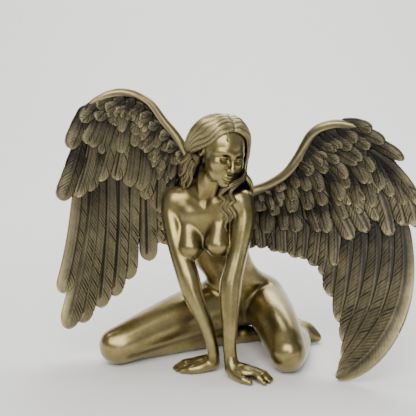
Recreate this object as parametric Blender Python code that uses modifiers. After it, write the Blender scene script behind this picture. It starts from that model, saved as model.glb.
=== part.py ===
# Angel figurine: a kneeling winged woman, leaning on her hands, cast in one piece of bronze.
# Frame: +X to the viewer's right, +Y away from the viewer, +Z up, origin under the middle of the
# bounding box, on the plane that knees, shins, feet and hands rest on.
# The figure is laid out in millimetres for a woman who would stand 440 mm tall; SCALE makes metres.
import math

import bmesh
import bpy
import numpy as np
from mathutils import Matrix, Vector

STANDING_HEIGHT = 0.440          # metres, the woman standing up; every proportion follows it
SCALE = STANDING_HEIGHT / 440.0  # metres per layout millimetre
REST_CUT = 0.9                   # layout mm, how much the resting spots are filed flat
BODY_VOXEL = 1.4                 # layout mm, grid that melts the limbs into the trunk
BODY_SMOOTHING = 10              # rounds of smoothing over the melted joints
CAST_VOXEL = 0.8                 # layout mm, grid that fuses body, hands, head, hair and wings
TRIANGLES = 9300                 # faces of the finished solid

HEAD_CENTRE = (12.5, -4.5, 197.5)
HEAD_TURN = (28.0, 15.0, 9.0)    # degrees: turned to her left, bowed, top leaning to her left
HEAD_TALL = 57.0                 # crown to chin, without hair

FEATHER_BASE = 0.9               # layout mm, half the thickness of the bare wing plate
FEATHER_STEP = 0.36              # each row of feathers lies this much higher than the row it covers
FEATHER_RISE = 0.85              # and a feather rises this much from its root to its tip

# Trunk: height, centre x, centre y, half width, half depth, turn in degrees.
TRUNK = [
    (20, 36, 68, 22, 15, 14), (27, 35, 67, 32, 21, 15), (36, 34, 65, 37, 24, 16), (48, 32.5, 60, 37, 25, 16),
    (60, 30, 54, 33, 22.5, 14), (72, 25, 48, 28, 19.5, 10), (85, 17.5, 42, 26, 17, 2),
    (96, 12.8, 37, 26, 16.5, -5), (110, 7.3, 30, 27, 17.5, -12), (124, 2.5, 24, 28, 18.5, -17),
    (137, -1, 19, 28.5, 17.5, -20), (147, -2, 17, 27, 14.5, -21), (155, -2.5, 16, 19, 11, -21),
    (162, -2.5, 15, 10, 8, -21)]

# Limbs: x, y, z and radius along the middle of each.
LIMBS = {
    "right_thigh": [(14, 56, 42, 26), (-14, 41, 37, 24.5), (-48, 21, 28.5, 21), (-74, 5, 21, 18), (-83, 1, 18.5, 16.8)],
    "right_shin": [(-80, 5, 14.4, 14), (-62, 17, 14, 14), (-34, 31, 13.5, 13.3), (2, 48, 11, 10.4), (26, 58, 9, 8.4),
                   (36, 61, 9, 8.6)],
    "right_foot": [(34, 61, 9, 8.4), (48, 66, 7.6, 7.3), (62, 70, 5.8, 5.6), (71, 73, 4.4, 4.0)],
    "left_thigh": [(53, 64, 43, 23), (57, 46, 41.5, 22.5), (63, 18, 36, 20.5), (69, -8, 27, 17.5), (71.5, -20, 20, 16.3)],
    "left_shin": [(72, -18, 14.6, 14), (78, 0, 14, 14), (84, 26, 13.2, 13), (90, 52, 10.5, 9.4), (93, 65, 9.4, 8.6)],
    "left_hip": [(38, 57, 58, 18), (50, 60, 48, 22)],
    "left_heel": [(91, 66, 11, 8.4), (88, 72, 15, 6.6)],
    "left_foot": [(92, 66, 10, 8.8), (97, 65, 9.5, 7.6), (102, 63, 7.6, 6), (106.5, 61, 5.6, 4.4)],
    "right_arm": [(-31.5, 24, 150, 10.8), (-33, 19, 139, 9.3), (-30, 9, 116, 8.2), (-24, 0, 96, 8.0), (-18, -6, 82, 9.2),
                  (-13.5, -10, 71, 9.2), (-4, -15, 49, 7.4), (2, -18, 33, 6.0), (5, -19, 19, 5.7), (4.5, -17, 11, 5.6)],
    "left_arm": [(29, 2, 153, 11), (31.5, -1, 141, 10.2), (29, -6, 118, 9.6), (24, -11, 98, 9.0), (20, -15, 80, 9.8),
                 (19.5, -17, 70, 9.8), (19.5, -22, 50, 8.2), (19, -26, 29, 6.4), (20, -28, 18, 6.3), (21, -30, 11, 6)],
    "neck": [(-2.5, 17, 150, 11), (-1, 13, 160, 9.8), (3, 7, 173, 9.2), (9, 2, 186, 10)],
    "right_trapezius": [(-23, 23, 154, 7), (-12, 20, 160, 8), (-4, 16, 168, 8)],
    "left_trapezius": [(20, 9, 157, 7), (8, 12, 162, 8), (3, 12, 170, 8)],
    "right_breast": [(-11, 8.5, 141, 6), (-14, 4.5, 126, 9.5), (-15.5, 0.5, 112, 11)],
    "left_breast": [(5, 2, 143, 6), (7.5, -3, 129, 9.5), (8.5, -7, 117, 10.8)],
}
SHOULDERS = [((-28, 23, 150), (12, 11, 10.5)), ((27, 3, 154), (12, 11, 10.5))]

# Hands lie flat, fingers close together and pointing outwards; each finger starts inside the palm.
# A palm is a flat ball: middle, radii and turn in degrees.
HANDS = {
    "left_index": [(24, -33, 9, 4.6), (38, -41, 7.6, 3.4), (44, -46.5, 5.8, 3), (48.5, -51, 2.9, 2.3)],
    "left_middle": [(25, -31, 9.5, 4.6), (40.5, -37, 8, 3.4), (47.5, -42.5, 6, 3), (53, -47, 2.9, 2.3)],
    "left_ring": [(25, -28, 9.5, 4.4), (41.5, -32.8, 7.8, 3.3), (49.5, -38, 5.9, 2.9), (55, -42.2, 2.8, 2.2)],
    "left_little": [(24, -26, 9, 4.2), (40, -29, 7, 3.1), (47, -33, 5.4, 2.7), (52.5, -36.8, 2.7, 2.1)],
    "left_thumb": [(20, -33, 8, 5.2), (23, -41, 5.5, 4.2), (28, -47.5, 4.2, 3.5), (33, -51.3, 3, 2.6)],
    "right_index": [(0, -16, 9, 4.6), (-12, -18.5, 7, 3.3), (-20.5, -19.4, 5.6, 3), (-27.5, -19.6, 2.9, 2.3)],
    "right_middle": [(-1, -13.5, 9.5, 4.6), (-13, -13.9, 7.6, 3.3), (-22, -14.6, 6, 3), (-29.5, -15, 2.9, 2.3)],
    "right_ring": [(-1, -11, 9.5, 4.4), (-13, -9.4, 7.4, 3.2), (-21.5, -10, 5.8, 2.9), (-28.5, -10.5, 2.8, 2.2)],
    "right_little": [(0, -8.5, 9, 4.2), (-11.5, -5.2, 6.8, 3), (-19, -5.5, 5.2, 2.7), (-25, -6.2, 2.7, 2.1)],
    "right_thumb": [(2, -19.5, 8, 5.2), (-7, -24.6, 5.4, 3.9), (-15.5, -26.2, 4, 3.2), (-23.5, -24.8, 3, 2.5)],
}
PALMS = [((31, -34, 7.4), (12, 9, 6), -37), ((22, -31, 8.5), (6.6, 7.2, 6.4), 0),
         ((-5, -12.8, 7.2), (11, 9.6, 6), 0), ((4, -15, 8.5), (6.4, 7, 6.2), 0)]

# Head in its own frame, middle of the skull at zero, face towards -Y.
HEAD_FORMS = [((0, 5, 8), (19.3, 23, 20.5)), ((0, -6, -6), (15.3, 15.4, 19.5)), ((0, -10.5, -18), (9.6, 9.5, 9)),
              ((0, -16.5, -23), (5, 4.6, 4.4)), ((-9.5, -12, -7), (6, 6, 6)), ((9.5, -12, -7), (6, 6, 6))]
HEAD_LINES = [
    [(-12.5, -12.2, 1.6, 1.6), (-9.5, -14.6, 4.4, 1.7), (-5, -16.9, 4.8, 1.8), (0, -17.2, 3.6, 2.2), (5, -16.9, 4.8, 1.8),
     (9.5, -14.6, 4.4, 1.7), (12.5, -12.2, 1.6, 1.6)],
    [(0, -17.6, 4, 1.8), (0, -20.8, -2, 1.9), (0, -23.4, -7.4, 2.3)],
    [(-3, -20.4, -8.2, 1.9), (3, -20.4, -8.2, 1.9)],
    [(-5.2, -18.2, -14.8, 1.3), (-2, -20.6, -14.2, 1.8), (2, -20.6, -14.2, 1.8), (5.2, -18.2, -14.8, 1.3)],
    [(-4.4, -18, -16.2, 1.3), (0, -20.2, -17.4, 2), (4.4, -18, -16.2, 1.3)]]
HAIR_CAP = [((0, 10, 10.5), (22.2, 24.6, 22.2)), ((-3, 20, -6), (15, 13, 20)), ((-13, 8, 4), (10, 15, 17)),
            ((14, 9, 0), (8.5, 15, 18))]

# Locks that frame the face, from the parting down each side, in the head's own frame with radius.
HEAD_LOCKS = [
    [(5, -6.5, 26.5, 3), (-4, -11.5, 22, 3.2), (-11, -11.5, 16, 3.4), (-16, -7, 10, 3.6), (-19, 0, 4.5, 3.6),
     (-20.5, 8, -2, 3.6), (-22, 13, -10, 3.4), (-26, 14, -18, 2.8), (-27, 12, -25, 2)],
    [(5, -6.5, 26.5, 3), (11, -9, 21, 3.2), (16, -7.5, 14, 3.6), (18.5, -3, 6, 3.8), (19.5, -1, -4, 3.8),
     (19.5, 0, -14, 3.6), (19.5, 2, -24, 3.4), (20, 6, -34, 3)]]

# Hair in the figure's frame: locks as x, y, z and radius.
HAIR = [
    [(21, -13, 227, 4.5), (10, -9, 226, 6), (-1, -1, 217, 7), (-8, 6, 205, 8), (-12, 11, 195, 7)],
    [(-12, 6, 196, 7), (-16, 12, 184, 7), (-19, 18, 170, 6), (-17, 27, 154, 5)],
    [(-2, 18, 208, 14), (-4, 25, 190, 14.5), (-4, 31, 170, 14), (-1, 36, 148, 12), (2, 38, 128, 8.5), (4, 38.5, 112, 4.5)],
    [(14, 10, 204, 14), (18, 16, 188, 13), (17, 24, 168, 12), (14, 31, 148, 9), (11, 34, 132, 5.5)],
    [(33, -6, 214, 4.6), (35, -3, 202, 5), (33.5, 0, 186, 5), (33, 3, 174, 5), (37, 10, 162, 4.6), (37, 20, 150, 3.4)],
    [(31, -5, 186, 4), (28, -12, 177, 3.6), (20, -18, 169, 3.4), (16, -19, 160, 3.3), (19, -19, 151, 3.2),
     (25, -17, 144, 3), (28, -17.5, 136, 2.6), (31.5, -16.5, 130, 1.8)],
    [(29, -3, 178, 3.6), (21, -10, 170, 3.2), (13, -12, 163, 3), (11, -11, 156, 2.6), (15.5, -12, 148, 2.2)],
]


def right_depth(x, z):
    """How far back the middle of her right wing lies at x, z."""
    x, z = x / 100, z / 100
    return 31 - 13 * x + 11 * z - 27 * x * x - 8 * x * z - 5 * z * z


def left_depth(x, z):
    """The same for her left wing: it comes forward as it goes out and down, and bends in to the back."""
    u, w = x / 100, z / 100
    return 31 - 60 * u + 45 * w - 5 * u * u + 23 * u * w - 19 * w * w - 20 * np.exp(-((x - 5) / 30) ** 2)


# A row of feathers runs between two guide lines in x, z: where its roots are and where its tips end.
# count, half width, bow of the first and last feather, layer, how far along the tip starts to round.
RIGHT_WING = [
    ([(-100, 240), (-84, 243), (-66, 238), (-50, 228), (-34, 205), (-20, 182)],
     [(-112, 176), (-98, 176), (-80, 178), (-62, 176), (-46, 160), (-34, 140)], 9, 9.5, (0.0, 0.0), 0, 0.7),
    ([(-106, 181), (-95, 194), (-76, 198), (-55, 193), (-37, 170)],
     [(-130, 32), (-118, 35), (-108, 37), (-97, 53), (-87, 59), (-77, 70), (-61, 85), (-53, 96), (-45, 108), (-38, 104)],
     10, 7.1, (0.03, 0.0), 0, 0.88),
    ([(-117, 195), (-116, 195)], [(-134, 65), (-133.5, 65)], 1, 7.4, (0.04, 0.04), 1, 0.9),
    ([(-114, 210), (-100, 215), (-84, 218), (-68, 214), (-53, 203), (-42, 189), (-33, 173)],
     [(-134, 150), (-117, 156), (-101, 160), (-82, 164), (-68, 158), (-58, 144), (-52, 128), (-43, 116)],
     12, 7.0, (0.02, 0.02), 2, 0.82),
    ([(-111, 233), (-98, 233), (-84, 231), (-69, 225), (-55, 216), (-44, 205), (-33, 192)],
     [(-126, 197), (-116, 202), (-104, 194), (-93, 193), (-76, 194), (-64, 197), (-53, 184), (-45, 175), (-35, 167)],
     11, 6.4, (0.02, 0.02), 3, 0.76),
    ([(-100, 242), (-87, 243), (-75, 242), (-62, 237), (-50, 226), (-39, 212), (-28, 197)],
     [(-116, 222), (-98, 221), (-84, 215), (-70, 211), (-57, 203), (-44, 194), (-31, 181)],
     10, 6.2, (0.02, 0.02), 4, 0.72),
    ([(-90, 245), (-74, 247), (-62, 242), (-51, 232), (-40, 220), (-29, 205), (-22, 194)],
     [(-102, 236), (-89, 232), (-76, 229), (-63, 225), (-51, 214), (-40, 202), (-29, 188)],
     10, 5.8, (0.02, 0.02), 5, 0.7),
]
RIGHT_EDGE = [(-6, 132, 7), (-10, 158, 6), (-17, 184, 4.6), (-28, 205, 4.2), (-41, 221, 4), (-52, 236, 3.8), (-62, 243, 3.6),
              (-71, 246.5, 3.4), (-81, 247, 3.2), (-92, 244, 3), (-101, 239, 2.8)]
LEFT_WING = [
    ([(24, 148), (46, 155), (66, 167), (82, 184), (92, 203), (104, 214), (118, 217), (130, 214), (139, 208)],
     [(26, 118), (48, 118), (72, 120), (96, 128), (116, 138), (132, 150), (146, 162), (156, 172), (168, 178)],
     14, 9.0, (0.0, 0.02), 0, 0.7),
    ([(118, 119), (128, 127), (138, 134), (149, 142), (160, 148), (169, 151)],
     [(112, 66), (117, 49), (119.5, 36), (120.5, 24), (118, 14), (115, 6), (113, 2)],
     8, 7.2, (0.0, 0.165), 0, 0.7),
    ([(20, 126), (41, 126), (53, 126), (67, 127), (80, 128), (94, 129), (107, 130), (115, 136)],
     [(20, 100), (41, 102), (52, 101), (62, 100), (71, 98), (80, 96), (88, 95), (97, 90), (105, 84), (116, 92)],
     10, 6.4, (0.0, 0.03), 1, 0.78),
    ([(115, 146), (127, 155), (137, 164), (147, 172), (156, 178), (164, 180)],
     [(131, 116), (144, 125), (153, 135), (163, 125), (173, 132), (183, 132)],
     6, 7.6, (0.02, 0.07), 1.6, 0.74),
    ([(22, 144), (47, 142), (62, 145), (78, 148), (92, 151), (104, 157), (114, 165), (124, 174), (133, 184)],
     [(22, 118), (45, 120), (60, 118), (74, 119), (91, 119), (108, 121), (121, 131), (130, 146), (143, 155), (154, 160)],
     12, 6.4, (0.02, 0.03), 2.4, 0.72),
    ([(30, 155), (50, 154), (65, 159), (79, 165), (91, 170), (102, 177), (110, 187), (121, 196), (129, 204)],
     [(28, 134), (49, 135), (64, 134), (79, 138), (94, 141), (108, 144), (120, 152), (131, 161), (141, 168), (149, 178)],
     11, 6.2, (0.02, 0.03), 3.2, 0.7),
    ([(53, 160), (66, 165), (79, 173), (89, 182), (96, 192), (105, 199), (115, 207), (125, 213)],
     [(52, 146), (67, 146), (81, 149), (95, 158), (113, 161), (123, 169), (131, 180), (139, 190), (145, 199)],
     10, 5.8, (0.02, 0.02), 4, 0.68),
    ([(56, 164), (67, 169), (78, 178), (86, 189), (91, 199), (98, 206), (108, 213), (118, 217)],
     [(56, 153), (69, 155), (83, 162), (95, 171), (109, 176), (117, 186), (126, 196), (134, 205)],
     9, 5.8, (0.02, 0.02), 4.8, 0.68),
    ([(120, 220), (127, 214), (134, 207), (143, 197)], [(146, 215), (157, 204), (173, 189), (185, 151)],
     4, 5.2, (0.06, 0.08), 3.4, 0.74),
]
LEFT_EDGE = [(8, 134, 7), (22, 148, 6), (41, 156, 4.8), (56, 162, 4.4), (71, 173, 4.2), (81, 187, 4), (87, 199, 3.8),
             (92, 210, 3.6), (100, 217, 3.4), (114, 221, 3.2), (127, 220, 3), (136, 217, 2.6)]


def smooth_path(rows, per):
    """Rows of values joined by a smooth curve that passes through each of them."""
    p = np.asarray(rows, float)
    if len(p) < 3:
        t = np.linspace(0, 1, per * 2 + 1)[:, None]
        return p[0] + (p[-1] - p[0]) * t
    q = np.vstack([2 * p[0] - p[1], p, 2 * p[-1] - p[-2]])
    t = np.linspace(0, 1, per, endpoint=False)[:, None]
    parts = []
    for i in range(len(p) - 1):
        a, b, c, d = q[i:i + 4]
        parts.append(0.5 * (2 * b + (c - a) * t + (2 * a - 5 * b + 4 * c - d) * t ** 2 + (3 * b - a - 3 * c + d) * t ** 3))
    return np.vstack(parts + [p[-1:]])


def rounded_ends(path):
    """Adds a half ball at both ends of a path of points and radii."""
    start, end = path[0], path[-1]
    first = (start[:3] - path[1][:3]) / np.linalg.norm(start[:3] - path[1][:3])
    last = (end[:3] - path[-2][:3]) / np.linalg.norm(end[:3] - path[-2][:3])
    steps = [(math.sin(a), math.cos(a)) for a in (0.5, 0.95, 1.3)]
    head = [np.append(start[:3] + first * start[3] * s, start[3] * c) for s, c in reversed(steps)]
    tail = [np.append(end[:3] + last * end[3] * s, end[3] * c) for s, c in steps]
    return np.vstack([head, path, tail])


def tube(name, rows, per=4, sides=4):
    """A limb, finger or lock: a curve with its own radius at each point, made a mesh."""
    curve = bpy.data.curves.new(name, "CURVE")
    curve.dimensions = "3D"
    curve.bevel_depth = SCALE
    curve.bevel_resolution = sides
    curve.use_fill_caps = True
    path = rounded_ends(smooth_path(rows, per))
    spline = curve.splines.new("POLY")
    spline.points.add(len(path) - 1)
    for point, (x, y, z, radius) in zip(spline.points, path):
        point.co = (x * SCALE, y * SCALE, z * SCALE, 1)
        point.radius = radius
    holder = bpy.data.objects.new(name, curve)
    bpy.context.scene.collection.objects.link(holder)
    bpy.context.view_layer.update()
    mesh = bpy.data.meshes.new_from_object(holder.evaluated_get(bpy.context.evaluated_depsgraph_get()))
    bpy.data.objects.remove(holder, do_unlink=True)
    bpy.data.curves.remove(curve)
    bm = bmesh.new()
    bm.from_mesh(mesh)
    bpy.data.meshes.remove(mesh)
    bmesh.ops.remove_doubles(bm, verts=bm.verts, dist=1e-6)
    return bm


def ball(centre, radii, turn=None):
    """A stretched ball."""
    bm = bmesh.new()
    place = Matrix.Translation(Vector(centre) * SCALE)
    place = place @ (turn.to_4x4() if turn else Matrix.Identity(4)) @ Matrix.Diagonal((*[r * SCALE for r in radii], 1))
    bmesh.ops.create_uvsphere(bm, u_segments=32, v_segments=20, radius=1, matrix=place)
    return bm


def trunk():
    """A loft through turned ellipses, from the seat to the base of the neck."""
    bm = bmesh.new()
    rings = []
    for z, x, y, wide, deep, turn in smooth_path(TRUNK, 4):
        c, s = math.cos(math.radians(turn)), math.sin(math.radians(turn))
        ring = []
        for i in range(48):
            a = 2 * math.pi * i / 48
            u, v = wide * math.cos(a), deep * math.sin(a)
            ring.append(bm.verts.new(((x + u * c - v * s) * SCALE, (y + u * s + v * c) * SCALE, z * SCALE)))
        rings.append(ring)
    for low, high in zip(rings, rings[1:]):
        for i in range(48):
            bm.faces.new((low[i], low[(i + 1) % 48], high[(i + 1) % 48], high[i]))
    bm.faces.new(list(reversed(rings[0])))
    bm.faces.new(rings[-1])
    return bm


def feather(depth, root, tip, half_width, bow, layer, blunt, long=18, across=7):
    """One closed feather: a bowed strip, higher along its shaft, rounded at its tip, alike on both sides."""
    root, tip = np.array(root, float), np.array(tip, float)
    along = tip - root
    length = np.linalg.norm(along)
    side = np.array([-along[1], along[0]]) / length
    u = np.linspace(0, 1, long)[:, None]
    v = np.linspace(-1, 1, across)[None, :]
    bend = (root + tip) / 2 + side * bow * length * 2
    w = u[..., None]
    middle = (1 - w) ** 2 * root + 2 * w * (1 - w) * bend + w ** 2 * tip
    tangent = 2 * (1 - w) * (bend - root) + 2 * w * (tip - bend)
    tangent = tangent / np.linalg.norm(tangent, axis=-1, keepdims=True)
    normal = np.stack([-tangent[..., 1], tangent[..., 0]], -1)
    round_tip = np.sqrt(np.clip(1 - (np.clip((u - blunt) / (1 - blunt), 0, 1)) ** 2.4, 0.0016, 1))
    width = half_width * (0.62 + 0.38 * np.clip(u / 0.45, 0, 1) ** 0.8) * round_tip
    flat = middle + normal * (v * width)[..., None]
    x, z = flat[..., 0], flat[..., 1]
    height = FEATHER_BASE + layer * FEATHER_STEP + FEATHER_RISE * u + 0.3 * v + 0.8 * (1 - v * v) * np.minimum(1, 1.2 * round_tip)
    e = 0.5
    slope_x = (depth(x + e, z) - depth(x - e, z)) / (2 * e)
    slope_z = (depth(x, z + e) - depth(x, z - e)) / (2 * e)
    out = np.stack([slope_x, -np.ones_like(x), slope_z], -1)
    out = out / np.linalg.norm(out, axis=-1, keepdims=True)
    mid = np.stack([x, depth(x, z), z], -1)
    bm = bmesh.new()
    front = [[bm.verts.new(p * SCALE) for p in line] for line in mid + out * height[..., None]]
    back = [[bm.verts.new(p * SCALE) for p in line] for line in mid - out * height[..., None]]
    for i in range(long - 1):
        for j in range(across - 1):
            bm.faces.new((front[i][j], front[i + 1][j], front[i + 1][j + 1], front[i][j + 1]))
            bm.faces.new((back[i][j + 1], back[i + 1][j + 1], back[i + 1][j], back[i][j]))
    rim_f = front[0][:] + [r[-1] for r in front[1:]] + front[-1][-2::-1] + [r[0] for r in front[-2:0:-1]]
    rim_b = back[0][:] + [r[-1] for r in back[1:]] + back[-1][-2::-1] + [r[0] for r in back[-2:0:-1]]
    for i in range(len(rim_f)):
        k = (i + 1) % len(rim_f)
        bm.faces.new((rim_f[i], rim_f[k], rim_b[k], rim_b[i]))
    bmesh.ops.recalc_face_normals(bm, faces=bm.faces)
    return bm


def wing(rows, edge, depth):
    """Rows of feathers between their guide lines, and the arm of the wing along its top edge."""
    parts = []
    for roots, tips, count, half_width, bow, layer, blunt in rows:
        roots, tips = smooth_path(roots, 10), smooth_path(tips, 10)
        for i in range(count):
            share = i / max(count - 1, 1)
            ends = [[np.interp(share, np.linspace(0, 1, len(g)), g[:, k]) for k in (0, 1)] for g in (roots, tips)]
            parts.append(feather(depth, ends[0], ends[1], half_width, bow[0] + (bow[1] - bow[0]) * share, layer, blunt))
    arm = [(x, float(depth(x, z)), z, r) for x, z, r in edge]
    parts.append(tube("wing_arm", arm, per=5))
    return parts


def together(name, parts):
    """Every closed form of the list in one object."""
    whole = bmesh.new()
    for bm in parts:
        mesh = bpy.data.meshes.new("form")
        bm.to_mesh(mesh)
        whole.from_mesh(mesh)
        bm.free()
        bpy.data.meshes.remove(mesh)
    mesh = bpy.data.meshes.new(name)
    whole.to_mesh(mesh)
    whole.free()
    piece = bpy.data.objects.new(name, mesh)
    bpy.context.scene.collection.objects.link(piece)
    return piece


def baked(piece):
    """The object's modifiers made real, as a mesh of its own."""
    bpy.context.view_layer.update()
    mesh = bpy.data.meshes.new_from_object(piece.evaluated_get(bpy.context.evaluated_depsgraph_get()))
    bm = bmesh.new()
    bm.from_mesh(mesh)
    bpy.data.meshes.remove(mesh)
    old = piece.data
    bpy.data.objects.remove(piece, do_unlink=True)
    bpy.data.meshes.remove(old)
    return bm


def fused(parts, voxel, rounds, factor=0.5):
    """Forms that overlap melted into one skin on a fine grid, then smoothed."""
    piece = together("fused", parts)
    remesh = piece.modifiers.new("melt", "REMESH")
    remesh.mode = "VOXEL"
    remesh.voxel_size = voxel * SCALE
    if rounds:
        smooth = piece.modifiers.new("soften", "SMOOTH")
        smooth.factor = factor
        smooth.iterations = rounds
    return baked(piece)


def outer_skin(bm):
    """Keeps the largest connected skin; anything else is a bubble inside the metal."""
    left = set(bm.verts)
    best = []
    while left:
        seed = left.pop()
        group, queue = [seed], [seed]
        while queue:
            vert = queue.pop()
            for edge in vert.link_edges:
                other = edge.other_vert(vert)
                if other in left:
                    left.discard(other)
                    group.append(other)
                    queue.append(other)
        if len(group) > len(best):
            best = group
    keep = set(best)
    bmesh.ops.delete(bm, geom=[v for v in bm.verts if v not in keep], context="VERTS")
    return bm


def figure():
    """The whole casting as one closed skin, in metres."""
    body = [trunk()]
    body += [tube(name, rows, per=5, sides=6) for name, rows in LIMBS.items()]
    body += [ball(centre, radii) for centre, radii in SHOULDERS]
    cast = [fused(body, BODY_VOXEL, BODY_SMOOTHING)]

    turn, bow, lean = (math.radians(a) for a in HEAD_TURN)
    pose = Matrix.Rotation(turn, 3, "Z") @ Matrix.Rotation(bow, 3, "X") @ Matrix.Rotation(lean, 3, "Y")
    centre = Vector(HEAD_CENTRE)
    for middle, radii in HEAD_FORMS + HAIR_CAP:
        cast.append(ball(centre + pose @ Vector(middle), radii, pose))
    for line in HEAD_LINES + HEAD_LOCKS:
        cast.append(tube("feature", [(*(centre + pose @ Vector(p[:3])), p[3]) for p in line]))
    cast += [tube(name, rows) for name, rows in HANDS.items()]
    cast += [ball(centre, radii, Matrix.Rotation(math.radians(turn), 3, "Z")) for centre, radii, turn in PALMS]
    cast += [tube("lock", rows) for rows in HAIR]
    cast += wing(RIGHT_WING, RIGHT_EDGE, right_depth)
    cast += wing(LEFT_WING, LEFT_EDGE, left_depth)
    return outer_skin(fused(cast, CAST_VOXEL, 1, 0.35))


def filed_flat(bm, height):
    """Cuts the underside off at one height and closes each resting spot with a flat face."""
    geometry = bm.verts[:] + bm.edges[:] + bm.faces[:]
    bmesh.ops.bisect_plane(bm, geom=geometry, dist=1e-7, plane_co=(0, 0, height), plane_no=(0, 0, -1), clear_outer=True)
    rim = [e for e in bm.edges if e.is_boundary]
    bmesh.ops.holes_fill(bm, edges=rim, sides=0)
    bmesh.ops.triangulate(bm, faces=bm.faces[:])


def main():
    for old in list(bpy.data.objects):
        bpy.data.objects.remove(old, do_unlink=True)

    skin = bpy.data.meshes.new("skin")
    bm = figure()
    bm.to_mesh(skin)
    bm.free()
    piece = bpy.data.objects.new("skin", skin)
    bpy.context.scene.collection.objects.link(piece)
    skin.calc_loop_triangles()
    thin = piece.modifiers.new("facets", "DECIMATE")
    thin.ratio = TRIANGLES / len(skin.loop_triangles)
    thin.use_collapse_triangulate = True
    bm = baked(piece)
    filed_flat(bm, REST_CUT * SCALE)
    outer_skin(bm)

    points = np.array([v.co for v in bm.verts])
    low, high = points.min(0), points.max(0)
    bmesh.ops.translate(bm, verts=bm.verts, vec=(-(low[0] + high[0]) / 2, -(low[1] + high[1]) / 2, -low[2]))
    bmesh.ops.recalc_face_normals(bm, faces=bm.faces)

    mesh = bpy.data.meshes.new("kneeling_angel")
    bm.to_mesh(mesh)
    bm.free()
    angel = bpy.data.objects.new("kneeling_angel", mesh)
    collection = bpy.data.collections.new("angel_figurine")
    bpy.context.scene.collection.children.link(collection)
    collection.objects.link(angel)

    bronze = bpy.data.materials.new("patinated bronze")
    bronze.use_nodes = True
    shader = bronze.node_tree.nodes["Principled BSDF"]
    shader.inputs["Base Color"].default_value = (0.21, 0.155, 0.066, 1)
    shader.inputs["Metallic"].default_value = 1.0
    shader.inputs["Roughness"].default_value = 0.36
    mesh.materials.append(bronze)
    mesh.shade_smooth()
    mesh.set_sharp_from_angle(angle=math.radians(40))
    print("kneeling_angel", len(mesh.polygons), "faces, size", [round(float(v), 4) for v in high - low],
          "shift", [round(float(v), 5) for v in (-(low[0] + high[0]) / 2, -(low[1] + high[1]) / 2, -low[2])])


main()
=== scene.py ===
import bpy
import math
import numpy as np
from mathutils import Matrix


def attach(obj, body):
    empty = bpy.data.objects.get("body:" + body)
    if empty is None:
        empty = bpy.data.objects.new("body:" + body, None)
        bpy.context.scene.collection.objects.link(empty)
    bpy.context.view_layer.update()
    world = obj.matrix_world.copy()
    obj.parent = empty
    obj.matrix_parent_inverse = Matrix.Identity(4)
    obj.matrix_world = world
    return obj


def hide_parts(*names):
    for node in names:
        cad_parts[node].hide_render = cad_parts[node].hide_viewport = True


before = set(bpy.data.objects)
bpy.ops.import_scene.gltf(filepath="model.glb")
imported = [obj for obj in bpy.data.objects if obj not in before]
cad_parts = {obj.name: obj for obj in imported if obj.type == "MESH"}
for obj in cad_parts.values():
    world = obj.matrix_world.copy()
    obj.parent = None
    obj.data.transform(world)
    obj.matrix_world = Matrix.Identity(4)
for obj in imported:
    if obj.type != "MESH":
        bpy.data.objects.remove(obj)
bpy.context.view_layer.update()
print("frame loaded")

# The figure is laid out in millimetres, as in its solid: x to the right, y away from the viewer, z up.
# The soles rest on the ground at height rest, and far is the distance given to empty space.
layout = {"shift": np.array([-25.28, -18.34, -0.9]), "rest": 0.9, "far": 40.0}


def toMetres(points):
    # metres = (layout millimetres + shift) / 1000
    return (np.asarray(points, float) + layout["shift"]) * 0.001


def smoothPath(rows, per):
    # Catmull-Rom curve through the rows: between b and c, with neighbours a and d, the cubic
    # (2b + (c-a)t + (2a-5b+4c-d)t^2 + (3b-a-3c+d)t^3) / 2 for t from 0 to 1
    p = np.asarray(rows, float)
    if len(p) < 3:
        return p[0] + (p[-1] - p[0]) * np.linspace(0, 1, per * 2 + 1)[:, None]
    q = np.vstack([2 * p[0] - p[1], p, 2 * p[-1] - p[-2]])
    t = np.linspace(0, 1, per, endpoint=False)[None, :, None]
    a, b, c, d = (q[i:len(q) - 3 + i][:, None, :] for i in range(4))
    squared, cubed = 2 * a - 5 * b + 4 * c - d, 3 * b - a - 3 * c + d
    mid = 0.5 * (2 * b + (c - a) * t + squared * t ** 2 + cubed * t ** 3)
    return np.vstack([mid.reshape(-1, p.shape[1]), p[-1:]])


def turnMatrix(yaw, pitch, lean):
    # turn about z, then about the turned x, then about the turned y, in degrees
    a, b, c = np.radians([yaw, pitch, lean])
    rz = np.array([[np.cos(a), -np.sin(a), 0], [np.sin(a), np.cos(a), 0], [0, 0, 1]])
    rx = np.array([[1, 0, 0], [0, np.cos(b), -np.sin(b)], [0, np.sin(b), np.cos(b)]])
    ry = np.array([[np.cos(c), 0, np.sin(c)], [0, 1, 0], [-np.sin(c), 0, np.cos(c)]])
    return rz @ rx @ ry


# A body of blended limbs is no grid of two parameters, so body, head and hands are distance fields:
# each form gives the distance to its skin on a fine grid, forms melt into each other, and the skin
# is where the distance is zero.
class Field:
    def __init__(self, low, high, step):
        self.low, self.step = np.array(low, float), step
        count = np.ceil((np.array(high, float) - self.low) / step).astype(int) + 1
        self.axes = [(self.low[i] + step * np.arange(count[i])).astype(np.float32) for i in range(3)]
        self.value = np.full(count, layout["far"], np.float32)

    def window(self, low, high):
        cut = []
        for i in range(3):
            a = int(np.clip(np.floor((low[i] - self.low[i]) / self.step), 0, len(self.axes[i])))
            b = int(np.clip(np.ceil((high[i] - self.low[i]) / self.step) + 1, 0, len(self.axes[i])))
            cut.append(slice(a, b))
        return tuple(cut)

    def grid(self, cut):
        x, y, z = (self.axes[i][cut[i]] for i in range(3))
        return x[:, None, None], y[None, :, None], z[None, None, :]


def blendIn(a, b, soft):
    # smooth least of two distances: they melt over a band of width soft
    h = np.clip(0.5 + 0.5 * (b - a) / soft, 0, 1)
    return b + (a - b) * h - soft * h * (1 - h)


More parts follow.
